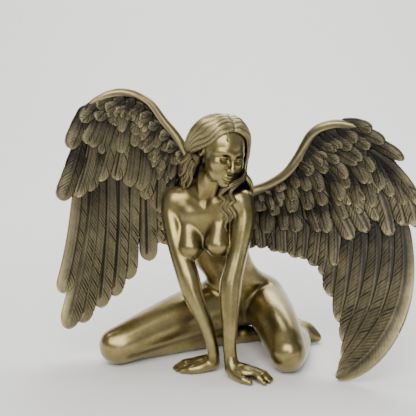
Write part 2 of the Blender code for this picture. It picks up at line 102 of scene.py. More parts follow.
def putInto(field, cut, distance, soft, carve):
    if carve:
        field.value[cut] = -blendIn(-field.value[cut], distance, soft)
    else:
        field.value[cut] = blendIn(field.value[cut], distance, soft)


def addPath(field, rows, soft, per=6, near=None, carve=False):
    # distance to a chain of round cones = distance to the nearest axis point - radius there
    path = smoothPath(rows, per)
    reach = soft * 2 + 4
    low, high = (path[:, :3] - path[:, 3:4]).min(0), (path[:, :3] + path[:, 3:4]).max(0)
    cut = field.window(low - reach, high + reach)
    x, y, z = field.grid(cut)
    if 0 in (x.size, y.size, z.size):
        return
    best = None
    for a, b in zip(path[:-1], path[1:]):
        d = b[:3] - a[:3]
        t = np.clip(((x - a[0]) * d[0] + (y - a[1]) * d[1] + (z - a[2]) * d[2]) / (d @ d + 1e-9), 0, 1)
        r = np.sqrt((x - a[0] - t * d[0]) ** 2 + (y - a[1] - t * d[1]) ** 2 + (z - a[2] - t * d[2]) ** 2)
        r = r - (a[3] + (b[3] - a[3]) * t)
        best = r if best is None else np.minimum(best, r)
    if near is not None:  # softer towards one joint
        c, radius, softer = near
        t = np.clip(1 - np.sqrt((x - c[0]) ** 2 + (y - c[1]) ** 2 + (z - c[2]) ** 2) / radius, 0, 1)
        soft = soft + (softer - soft) * t * t * (3 - 2 * t)
    putInto(field, cut, best, soft, carve)


def addBall(field, centre, radii, soft, turn=None, carve=False):
    # distance to an ellipsoid ~ k0 (k0 - 1) / k1, k0 = |p / r|, k1 = |p / r^2|
    c, r = np.asarray(centre, float), np.broadcast_to(np.asarray(radii, float), 3)
    reach = r.max() + soft * 2 + 3
    cut = field.window(c - reach, c + reach)
    x, y, z = field.grid(cut)
    if 0 in (x.size, y.size, z.size):
        return
    x, y, z = x - c[0], y - c[1], z - c[2]
    if turn is not None:
        x, y, z = (turn[0, i] * x + turn[1, i] * y + turn[2, i] * z for i in range(3))
    k0 = np.sqrt((x / r[0]) ** 2 + (y / r[1]) ** 2 + (z / r[2]) ** 2)
    k1 = np.sqrt((x / r[0] ** 2) ** 2 + (y / r[1] ** 2) ** 2 + (z / r[2] ** 2) ** 2) + 1e-6
    putInto(field, cut, k0 * (k0 - 1) / k1, soft, carve)


def softenField(field, rounds):
    # each value becomes (before + 2 itself + after) / 4 along x, y and z, which melts the small kinks
    for _ in range(rounds):
        for axis in range(3):
            v = np.moveaxis(field.value, axis, 0)
            v[1:-1] = (v[:-2] + 2 * v[1:-1] + v[2:]) / 4


def relaxSkin(points, quads, rounds, keepBelow=None):
    # each vertex goes halfway to the mean of its neighbours along the edges
    a, b = quads.ravel(), np.roll(quads, -1, axis=1).ravel()
    count = np.bincount(a, minlength=len(points)) + np.bincount(b, minlength=len(points))
    held = points[:, 2] < keepBelow if keepBelow is not None else np.zeros(len(points), bool)
    for _ in range(rounds):
        total = [np.bincount(a, points[b, k], len(points)) + np.bincount(b, points[a, k], len(points))
                 for k in range(3)]
        mean = np.stack(total, 1) / count[:, None]
        moved = points + 0.5 * (mean - points)
        moved[held, 2] = points[held, 2]
        points = moved
    return points


def skinOf(field):
    # one vertex in each cell that the skin crosses, at the mean of its edge crossings, and one quad
    # round each grid edge that it crosses
    value, inside = field.value, field.value < 0
    total = np.zeros(np.array(value.shape) - 1, np.int8)
    corners = [(i, j, k) for i in (0, 1) for j in (0, 1) for k in (0, 1)]
    n = value.shape
    for i, j, k in corners:
        total += inside[i:n[0] - 1 + i, j:n[1] - 1 + j, k:n[2] - 1 + k]
    cells = np.argwhere((total > 0) & (total < 8))
    index = np.full(total.shape, -1, np.int32)
    index[tuple(cells.T)] = np.arange(len(cells))
    at = {c: value[tuple((cells + c).T)].astype(float) for c in corners}
    points, count = np.zeros((len(cells), 3)), np.zeros(len(cells))
    for c in corners:
        for axis in range(3):
            if c[axis] == 0:
                far = tuple(1 if m == axis else c[m] for m in range(3))
                crosses = (at[c] < 0) != (at[far] < 0)
                t = np.where(crosses, at[c] / np.where(crosses, at[c] - at[far], 1), 0)
                spot = np.tile(np.array(c, float), (len(cells), 1))
                spot[:, axis] = t
                points += spot * crosses[:, None]
                count += crosses
    points = (cells + points / count[:, None]) * field.step + field.low
    quads = []
    for axis in range(3):
        first = [slice(1, m - 1) for m in n]
        second = list(first)
        first[axis], second[axis] = slice(0, n[axis] - 1), slice(1, n[axis])
        a, b = inside[tuple(first)], inside[tuple(second)]
        edges = np.argwhere(a != b)
        leaves = a[tuple(edges.T)]
        edges = edges + np.array([s.start for s in first])
        u, v = (axis + 1) % 3, (axis + 2) % 3
        ring = []
        for du, dv in ((-1, -1), (0, -1), (0, 0), (-1, 0)):
            cell = edges.copy()
            cell[:, u] += du
            cell[:, v] += dv
            ring.append(index[tuple(cell.T)])
        quad = np.stack(ring, 1)
        quad[~leaves] = quad[~leaves][:, ::-1]
        quads.append(quad)
    return points, np.vstack(quads)


def readField(field, points):
    # trilinear value of the field at each point
    g = (points - field.low) / field.step
    g = np.clip(g, 0, np.array(field.value.shape) - 1.001)
    i = g.astype(int)
    f = g - i
    out = 0
    for a in (0, 1):
        for b in (0, 1):
            for c in (0, 1):
                w = np.abs(1 - a - f[:, 0]) * np.abs(1 - b - f[:, 1]) * np.abs(1 - c - f[:, 2])
                out = out + w * field.value[i[:, 0] + a, i[:, 1] + b, i[:, 2] + c]
    return out


def pointNormals(points, quads):
    n = np.cross(points[quads[:, 2]] - points[quads[:, 0]], points[quads[:, 3]] - points[quads[:, 1]])
    out = np.zeros_like(points)
    for k in range(3):
        for i in range(4):
            out[:, k] += np.bincount(quads[:, i], n[:, k], len(points))
    return out / (np.linalg.norm(out, axis=1, keepdims=True) + 1e-12)


def openness(field, points, quads, reaches=(2.5, 5.0, 10.0)):
    # how far the metal round a point lies open: distance found at a step out of the skin / the step; where it
    # is small, the tone gets dark patina and painted shade
    n = pointNormals(points, quads)
    seen = [np.clip(readField(field, points + n * r) / r, 0, 1) for r in reaches]
    return np.clip(np.mean(seen, 0), 0, 1)


def makePiece(name, points, quads, wear, material):
    mesh = bpy.data.meshes.new(name)
    count = len(quads)
    mesh.vertices.add(len(points))
    mesh.vertices.foreach_set("co", toMetres(points).astype(np.float32).ravel())
    mesh.loops.add(count * 4)
    mesh.loops.foreach_set("vertex_index", quads.astype(np.int32).ravel())
    mesh.polygons.add(count)
    mesh.polygons.foreach_set("loop_start", np.arange(0, count * 4, 4, dtype=np.int32))
    mesh.polygons.foreach_set("loop_total", np.full(count, 4, np.int32))
    mesh.update(calc_edges=True)
    mesh.validate()
    mesh.shade_smooth()
    # this attribute holds patina and rubbing together with painted shade in closed places and under
    # overlapping feathers
    store = mesh.attributes.new("wear", "FLOAT", "POINT")
    store.data.foreach_set("value", np.clip(wear, 0, 1).astype(np.float32))
    piece = bpy.data.objects.new(name, mesh)
    bpy.context.scene.collection.objects.link(piece)
    mesh.materials.append(material)
    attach(piece, "root")
    print(name, count * 2, "triangles")
    return piece


def castFrom(name, form, built):
    # tone = least + share * how open the skin lies: dark patina together with painted shade in hollows,
    # creases and between limbs and fingers
    points, quads, openSkin = built
    least, share = form["wear"]
    return makePiece(name, points, quads, least + share * openSkin, bodyBronze)


def faceOut(points, quads):
    # turns a closed form whose volume comes out negative; volume = sum of a . (b x c) / 6
    a, b, c, d = (points[quads[:, i]] for i in range(4))
    volume = (np.einsum("ij,ij->i", a, np.cross(b, c)) + np.einsum("ij,ij->i", a, np.cross(c, d))).sum()
    return quads if volume > 0 else quads[:, ::-1]


def stitch(forms):
    # several closed grids of quads in one mesh, each turned to face out, one after the other
    points, quads, wear, start = [], [], [], 0
    for p, q, w in forms:
        points.append(p)
        quads.append(faceOut(p, q) + start)
        wear.append(w)
        start += len(p)
    return np.vstack(points), np.vstack(quads), np.concatenate(wear)


def closedSheet(front, back):
    # two grids of points make one closed form: the front, the back turned over, a wall round the rim
    n, m = front.shape[:2]
    i = np.arange(n * m).reshape(n, m)
    face = np.stack([i[:-1, :-1], i[1:, :-1], i[1:, 1:], i[:-1, 1:]], -1).reshape(-1, 4)
    rim = np.concatenate([i[0, :-1], i[:-1, -1], i[-1, :0:-1], i[:0:-1, 0]])
    after = np.roll(rim, -1)
    wall = np.stack([rim, after, after + n * m, rim + n * m], -1)
    points = np.vstack([front.reshape(-1, 3), back.reshape(-1, 3)])
    return points, np.vstack([face, face[:, ::-1] + n * m, wall])


def linear(hexColour):
    # sRGB hex to linear light: c/12.92 below 0.04045, else ((c + 0.055) / 1.055)^2.4
    c = np.array([int(hexColour[i:i + 2], 16) for i in (1, 3, 5)]) / 255
    return [*np.where(c <= 0.04045, c / 12.92, ((c + 0.055) / 1.055) ** 2.4), 1.0]


def addNode(tree, kind, settings=None, links=None):
    # one node with its settings and inputs; a link is (node, output) and a value is set as it is
    node = tree.nodes.new(kind)
    for key, value in (settings or {}).items():
        setattr(node, key, value)
    for key, value in (links or {}).items():
        if isinstance(value, tuple) and len(value) == 2 and hasattr(value[0], "outputs"):
            tree.links.new(value[0].outputs[value[1]], node.inputs[key])
        else:
            node.inputs[key].default_value = value
    return node


# Cast bronze, chased, chemically patinated and waxed: olive brown in the open, near black in the
# hollows from patina and painted shade, rubbed to warm gold where hands and cloths reach. The wax gives broad
# satin highlights.
bronzeLook = {
    "hollow": "#1c180d", "dark": "#4a3f1c", "field": "#7a6b37", "rubbed": "#bcaf7e",
    "stops": {"hollow": 0.04, "rubbed": 0.98, "dark": 0.30, "field": 0.62}, "cloudMm": 24.0, "mottleMm": 3.2,
    "grainMm": 0.55, "cloudShare": 0.34, "mottleShare": 0.20, "coat": 0.6, "coatRoughness": 0.27,
    "roughness": 0.30, "grainStrength": 0.35, "grainDepth": 0.00003,
}
wingLook = {
    **bronzeLook, "hollow": "#17150e", "dark": "#4d4733", "field": "#857b5b", "rubbed": "#c4ad6c",
    "coat": 0.28, "coatRoughness": 0.34, "cloudMm": 18.0, "mottleMm": 2.6, "grainMm": 0.5, "roughness": 0.36,
}
hairLook = {**bronzeLook, "dark": "#544a2c", "field": "#8f8357", "roughness": 0.31}


def addNoise(tree, place, sizeMm, detail, roughness):
    links = {"Vector": (place, "Object"), "Scale": 1000 / sizeMm, "Detail": detail, "Roughness": roughness}
    return addNode(tree, "ShaderNodeTexNoise", None, links)


def addMath(tree, operation, *inputs, clamp=False):
    settings = {"operation": operation, "use_clamp": clamp}
    return addNode(tree, "ShaderNodeMath", settings, dict(enumerate(inputs)))


def castBronze(name, look):
    material = bpy.data.materials.new(name)
    material.use_nodes = True
    tree = material.node_tree
    tree.nodes.clear()
    place = addNode(tree, "ShaderNodeTexCoord")
    wear = addNode(tree, "ShaderNodeAttribute", {"attribute_name": "wear"})
    cloud = addNoise(tree, place, look["cloudMm"], 3.0, 0.55)
    mottle = addNoise(tree, place, look["mottleMm"], 4.0, 0.6)
    grain = addNoise(tree, place, look["grainMm"], 2.0, 0.5)
    # the tone from patina, rubbing and painted shade, plus clouds and mottle of the patina, decides between
    # hollow, dark, field and rubbed
    clouded = addMath(tree, "MULTIPLY_ADD", (cloud, "Fac"), look["cloudShare"], -look["cloudShare"] / 2)
    mottled = addMath(tree, "MULTIPLY_ADD", (mottle, "Fac"), look["mottleShare"], -look["mottleShare"] / 2)
    both = addMath(tree, "ADD", (clouded, 0), (mottled, 0))
    tone = addMath(tree, "ADD", (wear, "Fac"), (both, 0), clamp=True)
    ramp = addNode(tree, "ShaderNodeValToRGB", None, {"Fac": (tone, 0)})
    stops = ramp.color_ramp.elements
    for i, (key, spot) in enumerate(look["stops"].items()):
        if i < 2:
            stops[i].position, stops[i].color = spot, linear(look[key])
        else:
            stops.new(spot).color = linear(look[key])
    rough = addNode(tree, "ShaderNodeMapRange", None, {
        "Value": (tone, 0), "From Min": 0.0, "From Max": 1.0,
        "To Min": look["roughness"] + 0.17, "To Max": look["roughness"] - 0.07})
    bump = addNode(tree, "ShaderNodeBump", None, {
        "Height": (grain, "Fac"), "Strength": look["grainStrength"], "Distance": look["grainDepth"]})
    shader = addNode(tree, "ShaderNodeBsdfPrincipled", None, {
        "Base Color": (ramp, "Color"), "Roughness": (rough, 0), "Normal": (bump, "Normal"),
        "Metallic": 1.0, "Coat Weight": look["coat"], "Coat Roughness": look["coatRoughness"]})
    addNode(tree, "ShaderNodeOutputMaterial", None, {"Surface": (shader, "BSDF")})
    return material


bodyBronze = castBronze("waxedOliveBronze", bronzeLook)
wingBronze = castBronze("darkFeatherBronze", wingLook)
hairBronze = castBronze("chasedHairBronze", hairLook)
print("bronzes mixed")

# Body: trunk rows are height, centre x, centre y, half width, half depth, turn in degrees. A limb is
# x, y, z, radius along its middle, then softness, then perhaps a joint where it melts more softly into
# the body: its place, reach and softness.
body = {
    "box": ([-112, -50, -3], [116, 100, 192]),
    "step": 1.12, "wear": (0.06, 0.66), "neckEnd": 189,
    "trunkBox": ([-60, -20, 12], [100, 110, 172]),
    # rounds of smoothing, and how far above the ground the sole stays as it is
    "relax": (3, 0.6),
    # furrows along the trunk: 1 behind or -1 in front, lowest, highest, radius, how far out, softness
    "furrows": {"spine": (1, 66, 146, 3.4, 2.2, 5), "bellyLine": (-1, 74, 126, 2.6, 2.0, 5)},
    "trunk": [
        (20, 36, 68, 22, 15, 14), (27, 35, 67, 32, 21, 15), (36, 34, 65, 37, 24, 16),
        (48, 32.5, 60, 37, 25, 16), (60, 30, 54, 33, 22.5, 14), (72, 25, 48, 28, 19.5, 10),
        (85, 15.6, 42, 28.0, 17, 2), (96, 10.4, 37, 29, 16.5, -5), (110, 5.4, 30, 29.8, 17.5, -12),
        (124, 1.8, 24, 29, 18.5, -17), (137, -1, 19, 28.5, 17.5, -20), (147, -2, 17, 27, 14.5, -21),
        (155, -2.5, 16, 19, 11, -21), (162, -2.5, 15, 10, 8, -21)],
    "limbs": {
        "rightThigh": (
            [(14, 56, 42, 26), (-14, 41, 37, 24.5), (-48, 21, 28.5, 21), (-74, 5, 21, 18),
             (-83, 1, 18.5, 16.8)],
            3, ([12, 54, 44], 45, 10)),
        "leftHip": ([(38, 57, 58, 18), (50, 60, 48, 22)], 8),
        "leftThigh": (
            [(53, 64, 43, 23), (57, 46, 41.5, 22.5), (63, 18, 36, 20.5), (68.6, -8, 27, 18.2),
             (71, -20, 20, 17)],
            4, ([54, 66, 45], 40, 10)),
        "rightShin": (
            [(-80, 5, 14.4, 14), (-62, 17, 14, 14), (-34, 31, 13.5, 13.3), (2, 48, 11, 10.4),
             (26, 58, 9, 8.4), (36, 61, 9, 8.6)],
            1.0, ([-82, 2, 17], 24, 7)),
        "leftShin": (
            [(72, -18, 14.6, 14), (78, 0, 14, 14), (84, 26, 13.2, 13), (90, 52, 10.5, 9.4),
             (93, 65, 9.4, 8.6)],
            1.0, ([71, -20, 17], 24, 7)),
        "rightFoot": ([(34, 61, 9, 8.4), (48, 66, 7.6, 7.3), (62, 70, 5.8, 5.6), (71, 73, 4.4, 4.0)], 2),
        "leftHeel": ([(91, 66, 11, 8.8), (88, 72, 15, 7)], 4),
        "leftFoot": ([(89, 58, 12.5, 10), (95, 61, 12, 9.8), (101, 60, 9.6, 7.6), (107, 58, 6.4, 4.8)], 4),
        "rightArm": (
            [(-31.5, 24, 150, 10.8), (-33.2, 19, 139, 9.5), (-30.6, 12, 124, 9.2), (-26, 4, 107, 9.1),
             (-20.2, -2, 92, 10.2), (-16.9, -6, 82, 10.2), (-13.3, -10, 70, 9.0), (-4, -15, 49, 7.0),
             (2, -18, 33, 5.8), (5, -19, 19, 5.5)],
            1.2, ([-30, 24, 148], 28, 9)),
        "leftArm": (
            [(29, 2, 153, 11), (31.7, -1, 141, 10.4), (30.4, -4.5, 128, 10.0), (26.5, -9, 108, 8.8),
             (22, -13, 90, 9.4), (20, -15, 80, 10), (19.4, -18, 66, 9.4), (19.4, -23, 46, 7.4),
             (19, -26, 29, 6.3), (20, -28, 18, 6.0)],
            1.2, ([29, 2, 152], 28, 9))},
    # soft forms laid on: rows with radius, softness, and a joint where there is one
    "forms": {
        "neck": ([(-2.5, 17, 150, 11), (-1, 13, 160, 9.8), (3, 7, 173, 9.2), (9, 2, 186, 10)], 6),
        "trapezius": ([(-23, 23, 154, 7), (-12, 20, 160, 8), (-4, 16, 168, 8)], 7),
        "leftTrapezius": ([(20, 9, 157, 7), (8, 12, 162, 8), (3, 12, 170, 8)], 7),
        "chestRight": ([(-24, 19.5, 145, 6), (-17, 13.5, 142, 6), (-9, 10, 140, 6)], 9),
        "chestLeft": ([(22, 3.5, 149, 6), (13, 4, 146, 6), (4, 6.5, 142, 6)], 9),
        "breastbone": ([(-2.6, 9.5, 140, 6), (-3, 8.5, 128, 7), (-3.4, 8, 116, 6.4)], 7),
        "breast": (
            [(-18.5, 15, 139, 7), (-17, 10.5, 126, 9), (-15.7, 2.4, 110.6, 11.6)], 6,
            ([-18, 14, 140], 22, 11)),
        "leftBreast": (
            [(13.5, 6.5, 143, 7), (11, 2.6, 130, 9), (8.8, -5.4, 115, 11.4)], 6, ([13, 6, 144], 22, 11)),
        "clavicle": ([(-5, 3.6, 148.0, 1.6), (-13, 8.6, 151.0, 1.9), (-22, 16, 154.5, 2.4)], 4.5),
        "leftClavicle": ([(1.5, 1.2, 148.0, 1.6), (9, -0.6, 152.6, 1.9), (19, -1, 157.5, 2.4)], 4.5),
        "neckCord": (
            [(-4.5, 4.6, 149, 1.5), (-5.5, 4.2, 160, 1.9), (-7.2, 5.6, 172, 2.2), (-6, 10, 183, 2.2)], 4.5),
        "leftNeckCord": ([(0.5, 3.4, 149, 1.4), (5, 0.4, 160, 1.6), (10, 0, 172, 1.6)], 4.5),
        "shoulderBlade": ([(-14, 35, 146, 3), (-16, 37, 136, 3.6), (-12, 38, 126, 2.4)], 6),
        "leftShoulderBlade": ([(13, 27, 148, 3), (17, 27, 138, 3.6), (14, 31, 128, 2.4)], 6)},
    "balls": [
        ([-28, 23, 150], (12, 11, 10.5), 8), ([27, 3, 154], (12, 11, 10.5), 8),
        ([-89, -4, 23], (8, 8.5, 8.5), 6), ([73, -28, 24], (8.5, 7.5, 8.5), 6),
        ([18, 78, 38], (17, 14, 18), 8), ([46, 74, 36], (16, 15, 17), 8)],
    # grooves and hollows: rows with radius, softness
    "hollows": {
        "neckPit": ([(-2.6, 0.5, 151.5, 1.2), (-2.4, 1.5, 155.5, 1.3)], 5),
        "kneeFold": (
            [(-72, -9.5, 12.5, 0.8), (-56, 0, 14.5, 1.1), (-34, 11.5, 16.5, 1.3), (-8, 25, 19, 1.3),
             (10, 35, 21, 1.0)],
            4.5),
        "groin": ([(37, 30.5, 47, 0.8), (41, 32, 56, 0.9), (47, 36, 62.5, 0.9), (56, 42, 65, 0.7)], 5),
        "seat": ([(28, 94, 26, 3), (26, 92, 42, 3), (23, 82, 58, 2)], 5)},
    "navel": ([20.5, 21.5, 79], (1.6, 2.6, 2.2), 1.4),
}


def trunkField(field, rows):
    # at each height the distance to a turned ellipse, clipped at both ends
    path = smoothPath(rows, 8)
    cut = field.window(*body["trunkBox"])
    x, y, z = field.grid(cut)
    cx, cy, wide, deep, turn = (np.interp(z, path[:, 0], path[:, i]) for i in range(1, 6))
    turn = np.radians(turn)
    u = (x - cx) * np.cos(turn) + (y - cy) * np.sin(turn)
    v = -(x - cx) * np.sin(turn) + (y - cy) * np.cos(turn)
    k0 = np.sqrt((u / wide) ** 2 + (v / deep) ** 2)
    k1 = np.sqrt((u / wide ** 2) ** 2 + (v / deep ** 2) ** 2) + 1e-6
    d = np.maximum(k0 * (k0 - 1) / k1 * 0.93, np.maximum(rows[0][0] - z, z - rows[-1][0]))
    field.value[cut] = np.minimum(field.value[cut], d)


def layOn(field, forms, per=6):
    for rowsOf, soft, *joint in forms.values():
        addPath(field, rowsOf, soft, per=per, near=joint[0] if joint else None)


def buildBody():
    field = Field(*body["box"], body["step"])
    trunkField(field, body["trunk"])
    rows = smoothPath(body["trunk"], 2)
    for sign, first, last, radius, out, soft in body["furrows"].values():
        lane = []
        for z, cx, cy, wide, deep, turn in rows:
            if first <= z <= last:
                a = math.radians(turn)
                reach = sign * (deep + out)
                lane.append((cx - math.sin(a) * reach, cy + math.cos(a) * reach, z, radius))
        addPath(field, lane, soft, carve=True)
    layOn(field, body["forms"])
    for centre, radii, soft in body["balls"]:
        addBall(field, centre, radii, soft)
    layOn(field, body["limbs"], per=12)
    for rowsOf, soft in body["hollows"].values():
        addPath(field, rowsOf, soft, carve=True)
    addBall(field, *body["navel"], carve=True)
    softenField(field, 2)
    z = field.axes[2][None, None, :]
    # flat on the ground, and the neck ends inside the head
    field.value = np.maximum(field.value, np.maximum(layout["rest"] - z, z - body["neckEnd"]))
    points, quads = skinOf(field)
    rounds, still = body["relax"]
    points = relaxSkin(points, quads, rounds, layout["rest"] + still)
    return points, quads, openness(field, points, quads)


angelBody = castFrom("angelBody", body, buildBody())

# Hands: palms, fingers from inside the palm to the tip, and their wrists.
hands = {
    "box": ([-36, -60, -1], [61, 3, 26]),
    "step": 0.55, "wear": (0.05, 0.66), "wristEnd": 24.5, "relax": (1, 0.4), "palmSoft": 3.6,
    "nail": (1.3, 1.3, 0.4),
    "wrists": [
        [(19.4, -26.6, 25, 4.6), (20, -28, 17.5, 6.0), (21, -29.5, 13, 6.2), (23, -31, 9, 6.2)],
        [(4.4, -18.8, 25, 4.2), (5, -19, 17.5, 5.5), (4.6, -17.5, 13, 5.9), (3, -15, 9, 6.2)]],
    # middle, radii, turn in degrees
    "palms": [
        ([31, -34, 7.2], (12, 9.2, 5.8), -37), ([-9, -19.5, 6.2], (8, 4.6, 4.2), 5),
        ([22, -31, 8.5], (6.6, 7.2, 6.4), 0), ([-5, -12.8, 7.0], (11, 9.6, 5.8), 0),
        ([4, -15, 8.5], (6.4, 7, 6.2), 0)],
    "fingers": {
        "leftIndex": [(24, -33, 9, 4.6), (38, -41, 7.6, 3.3), (44, -46.5, 5.9, 2.95), (48.5, -51, 2.9, 2.3)],
        "leftMiddle": [
            (25, -31, 9.5, 4.6), (40.5, -37, 8, 3.3), (47.5, -42.5, 6.1, 2.95), (53, -47, 2.9, 2.3)],
        "leftRing": [
            (25, -28, 9.5, 4.4), (41.5, -32.8, 7.8, 3.2), (49.5, -38, 6, 2.85), (55, -42.2, 2.8, 2.2)],
        "leftLittle": [(24, -26, 9, 4.2), (40, -29, 7, 3.0), (47, -33, 5.4, 2.6), (52.5, -36.8, 2.7, 2.0)],
        "leftThumb": [(21, -33, 8, 5.4), (25, -40.5, 5.6, 4.4), (30.5, -46.8, 4.2, 3.5), (36, -50.6, 3, 2.7)],
        "rightIndex": [
            (0, -16, 9, 4.6), (-12, -18.5, 7, 3.2), (-20.5, -19.4, 5.7, 2.95), (-27.5, -19.6, 2.9, 2.3)],
        "rightMiddle": [
            (-1, -13.5, 9.5, 4.6), (-13, -13.9, 7.6, 3.2), (-22, -14.6, 6.1, 2.95), (-29.5, -15, 2.9, 2.3)],
        "rightRing": [
            (-1, -11, 9.5, 4.4), (-13, -9.4, 7.4, 3.1), (-21.5, -10, 5.9, 2.85), (-28.5, -10.5, 2.8, 2.2)],
        "rightLittle": [
            (0, -8.5, 9, 4.2), (-11.5, -5.2, 6.8, 2.9), (-19, -5.5, 5.2, 2.6), (-25, -6.2, 2.7, 2.0)],
        "rightThumb": [
            (2, -18.5, 8, 5.4), (-7, -22.6, 5.8, 4.4), (-15.5, -24, 4.4, 3.6), (-23.2, -23.2, 3.2, 2.7)]},
}


def buildHands():
    field = Field(*hands["box"], hands["step"])
    for rowsOf in hands["wrists"]:
        addPath(field, rowsOf, 2.5)
    for centre, radii, turn in hands["palms"]:
        addBall(field, centre, radii, hands["palmSoft"], turnMatrix(turn, 0, 0))
    for rowsOf in hands["fingers"].values():
        addPath(field, rowsOf, 1.7, per=5)
        knuckle = np.array(rowsOf[2])
        addBall(field, knuckle[:3] + [0, 0, 0.25], knuckle[3], 1.5)
        tip, before = np.array(rowsOf[3]), np.array(rowsOf[2])
        way = (tip - before)[:3] / np.linalg.norm((tip - before)[:3])
        onTop = tip[:3] + way * 0.4 + [0, 0, tip[3] * 1.02]
        addBall(field, onTop, hands["nail"], 0.3, carve=True)
    z = field.axes[2][None, None, :]
    field.value = np.maximum(field.value, np.maximum(layout["rest"] - z, z - hands["wristEnd"]))
    points, quads = skinOf(field)
    rounds, still = hands["relax"]
    points = relaxSkin(points, quads, rounds, layout["rest"] + still)
    return points, quads, openness(field, points, quads, (1.2, 2.4, 4.8))


angelHands = castFrom("angelHands", hands, buildHands())

# Head in its own frame: middle of the skull at zero, face towards -y, x mirrored. A form is a path of
# points with radii, or the middle and radii of an ellipsoid, then its softness, and True if it cuts.
head = {
    "centre": np.array([12.5, -4.5, 197.5]),
    "turn": turnMatrix(28, 15, 9), "step": 0.52,
    "box": ([-24, -29, -33], [24, 31, 31]),
    "wear": (0.06, 0.70), "ends": (-32.2, 30.2),
    # skull, face, jaw, chin and round the mouth
    "middle": [
        ([(0, 5, 8), (19.3, 23, 20.3)], 1), ([(0, -4.5, -4), (16.4, 15.5, 19.6)], 6),
        ([(0, -8.5, -16.6), (12.2, 10.6, 9.2)], 5), ([(0, -16.4, -22.6), (4.8, 4.2, 4.0)], 3.5),
        ([(0, -17.0, -13.2), (5.6, 3.8, 4.4)], 3)],
    # one side of each pair: cheek, brow, socket and eyeball
    "eye": [
        ([(9.4, -12.4, -6.6), (6, 5.8, 6.2)], 5),
        ([(13, -11.5, 3.2, 1.4), (9.5, -15.2, 5.2, 1.7), (5, -17.0, 5.4, 1.7), (1.5, -17.6, 4.2, 1.7)], 3.2),
        ([(7.1, -19.6, 0.1), (4.7, 3.3, 3.1)], 2.4, True), ([(7.1, -13.9, -0.3), (4.0, 3.8, 3.6)], 0.5)],
    "nose": [
        ([(0, -17.4, 4.2, 1.9), (0, -19.4, 0.2, 1.7), (0, -21.9, -4.4, 1.8), (0, -23.1, -7.6, 2.1)], 2.4),
        ([(0, -23.2, -8.2), (2.4, 2.2, 2.1)], 1.5)],
    # one side of each pair: wing of the nose, nostril, a fold over the eye, a thin one under it, and the
    # ear with its bowl
    "side": [
        ([(2.8, -20.8, -8.8), (1.8, 2.4, 1.8)], 1.2), ([(1.4, -22.2, -10.5), (0.8, 1.2, 0.8)], 0.4, True),
        ([(3.5, -16.2, -1.0, 0.45), (5.0, -17.7, 0.7, 0.6), (7.1, -18.2, 1.35, 0.7), (9.3, -17.2, 0.8, 0.6),
          (11.2, -15.0, -0.7, 0.45)],
         0.7),
        ([(3.8, -16.2, -1.3, 0.35), (5.4, -17.2, -2.3, 0.45), (7.3, -17.5, -2.6, 0.5),
          (9.4, -16.6, -2.1, 0.45), (11, -15.0, -1.0, 0.35)],
         0.8),
        ([(18.4, 4.2, -1.5), (2.2, 3.6, 5.8)], 1.2), ([(20.3, 3.4, -0.8), (1.2, 2.0, 3.4)], 0.8, True)],
    # upper lip, lower lip, the line between them and the dip under them
    "mouth": [
        ([(-5.7, -18.2, -15.2, 0.6), (-2.6, -20.8, -14.2, 1.15), (0, -21.3, -14.5, 1.1),
          (2.6, -20.8, -14.2, 1.15), (5.7, -18.2, -15.2, 0.6)],
         0.9),
        ([(-4.9, -18.4, -15.9, 0.8), (-2.4, -20.2, -17.1, 1.4), (0, -20.7, -17.4, 1.6),
          (2.4, -20.2, -17.1, 1.4), (4.9, -18.4, -15.9, 0.8)],
         1.0),
        ([(-6, -19.0, -15.4, 0.3), (-2.5, -22.3, -15.7, 0.4), (0, -22.8, -15.5, 0.45),
          (2.5, -22.3, -15.7, 0.4), (6, -19.0, -15.4, 0.3)],
         0.5, True),
        ([(0, -22.3, -20.2), (3.6, 1.9, 1.2)], 1.6, True)],
    # in the figure's frame
    "neck": [(-1, 13, 160, 9.8), (3, 7, 173, 9.2), (9, 2, 186, 10)],
    "neckSoft": 5,
}


def headPoint(points):
    # layout place of points given in the head's own frame
    return np.asarray(points, float) @ head["turn"].T + head["centre"]


def addForms(field, forms, side=1):
    for rowsOf, soft, *carve in forms:
        p = np.array(rowsOf, float)
        if p.shape[1] == 4:
            addPath(field, p * [side, 1, 1, 1], soft, carve=bool(carve))
        else:
            addBall(field, p[0] * [side, 1, 1], p[1], soft, carve=bool(carve))


def buildHead():
    field = Field(*head["box"], head["step"])
    addForms(field, head["middle"])
    for side in (-1, 1):
        addForms(field, head["eye"], side)
    addForms(field, head["nose"])
    for side in (-1, 1):
        addForms(field, head["side"], side)
    addForms(field, head["mouth"])
    inHead = [(*((np.array(r[:3]) - head["centre"]) @ head["turn"]), r[3]) for r in head["neck"]]
    addPath(field, inHead, head["neckSoft"])
    low, high = head["ends"]
    edge = np.minimum(np.minimum(field.axes[2] - low, high - field.axes[2]), layout["far"])
    field.value = np.maximum(field.value, -edge[None, None, :])
    points, quads = skinOf(field)
    shade = openness(field, points, quads, (1.0, 2.5, 5.0))
    return headPoint(points), quads, shade


angelHead = castFrom("angelHead", head, buildHead())
print("figure modelled")

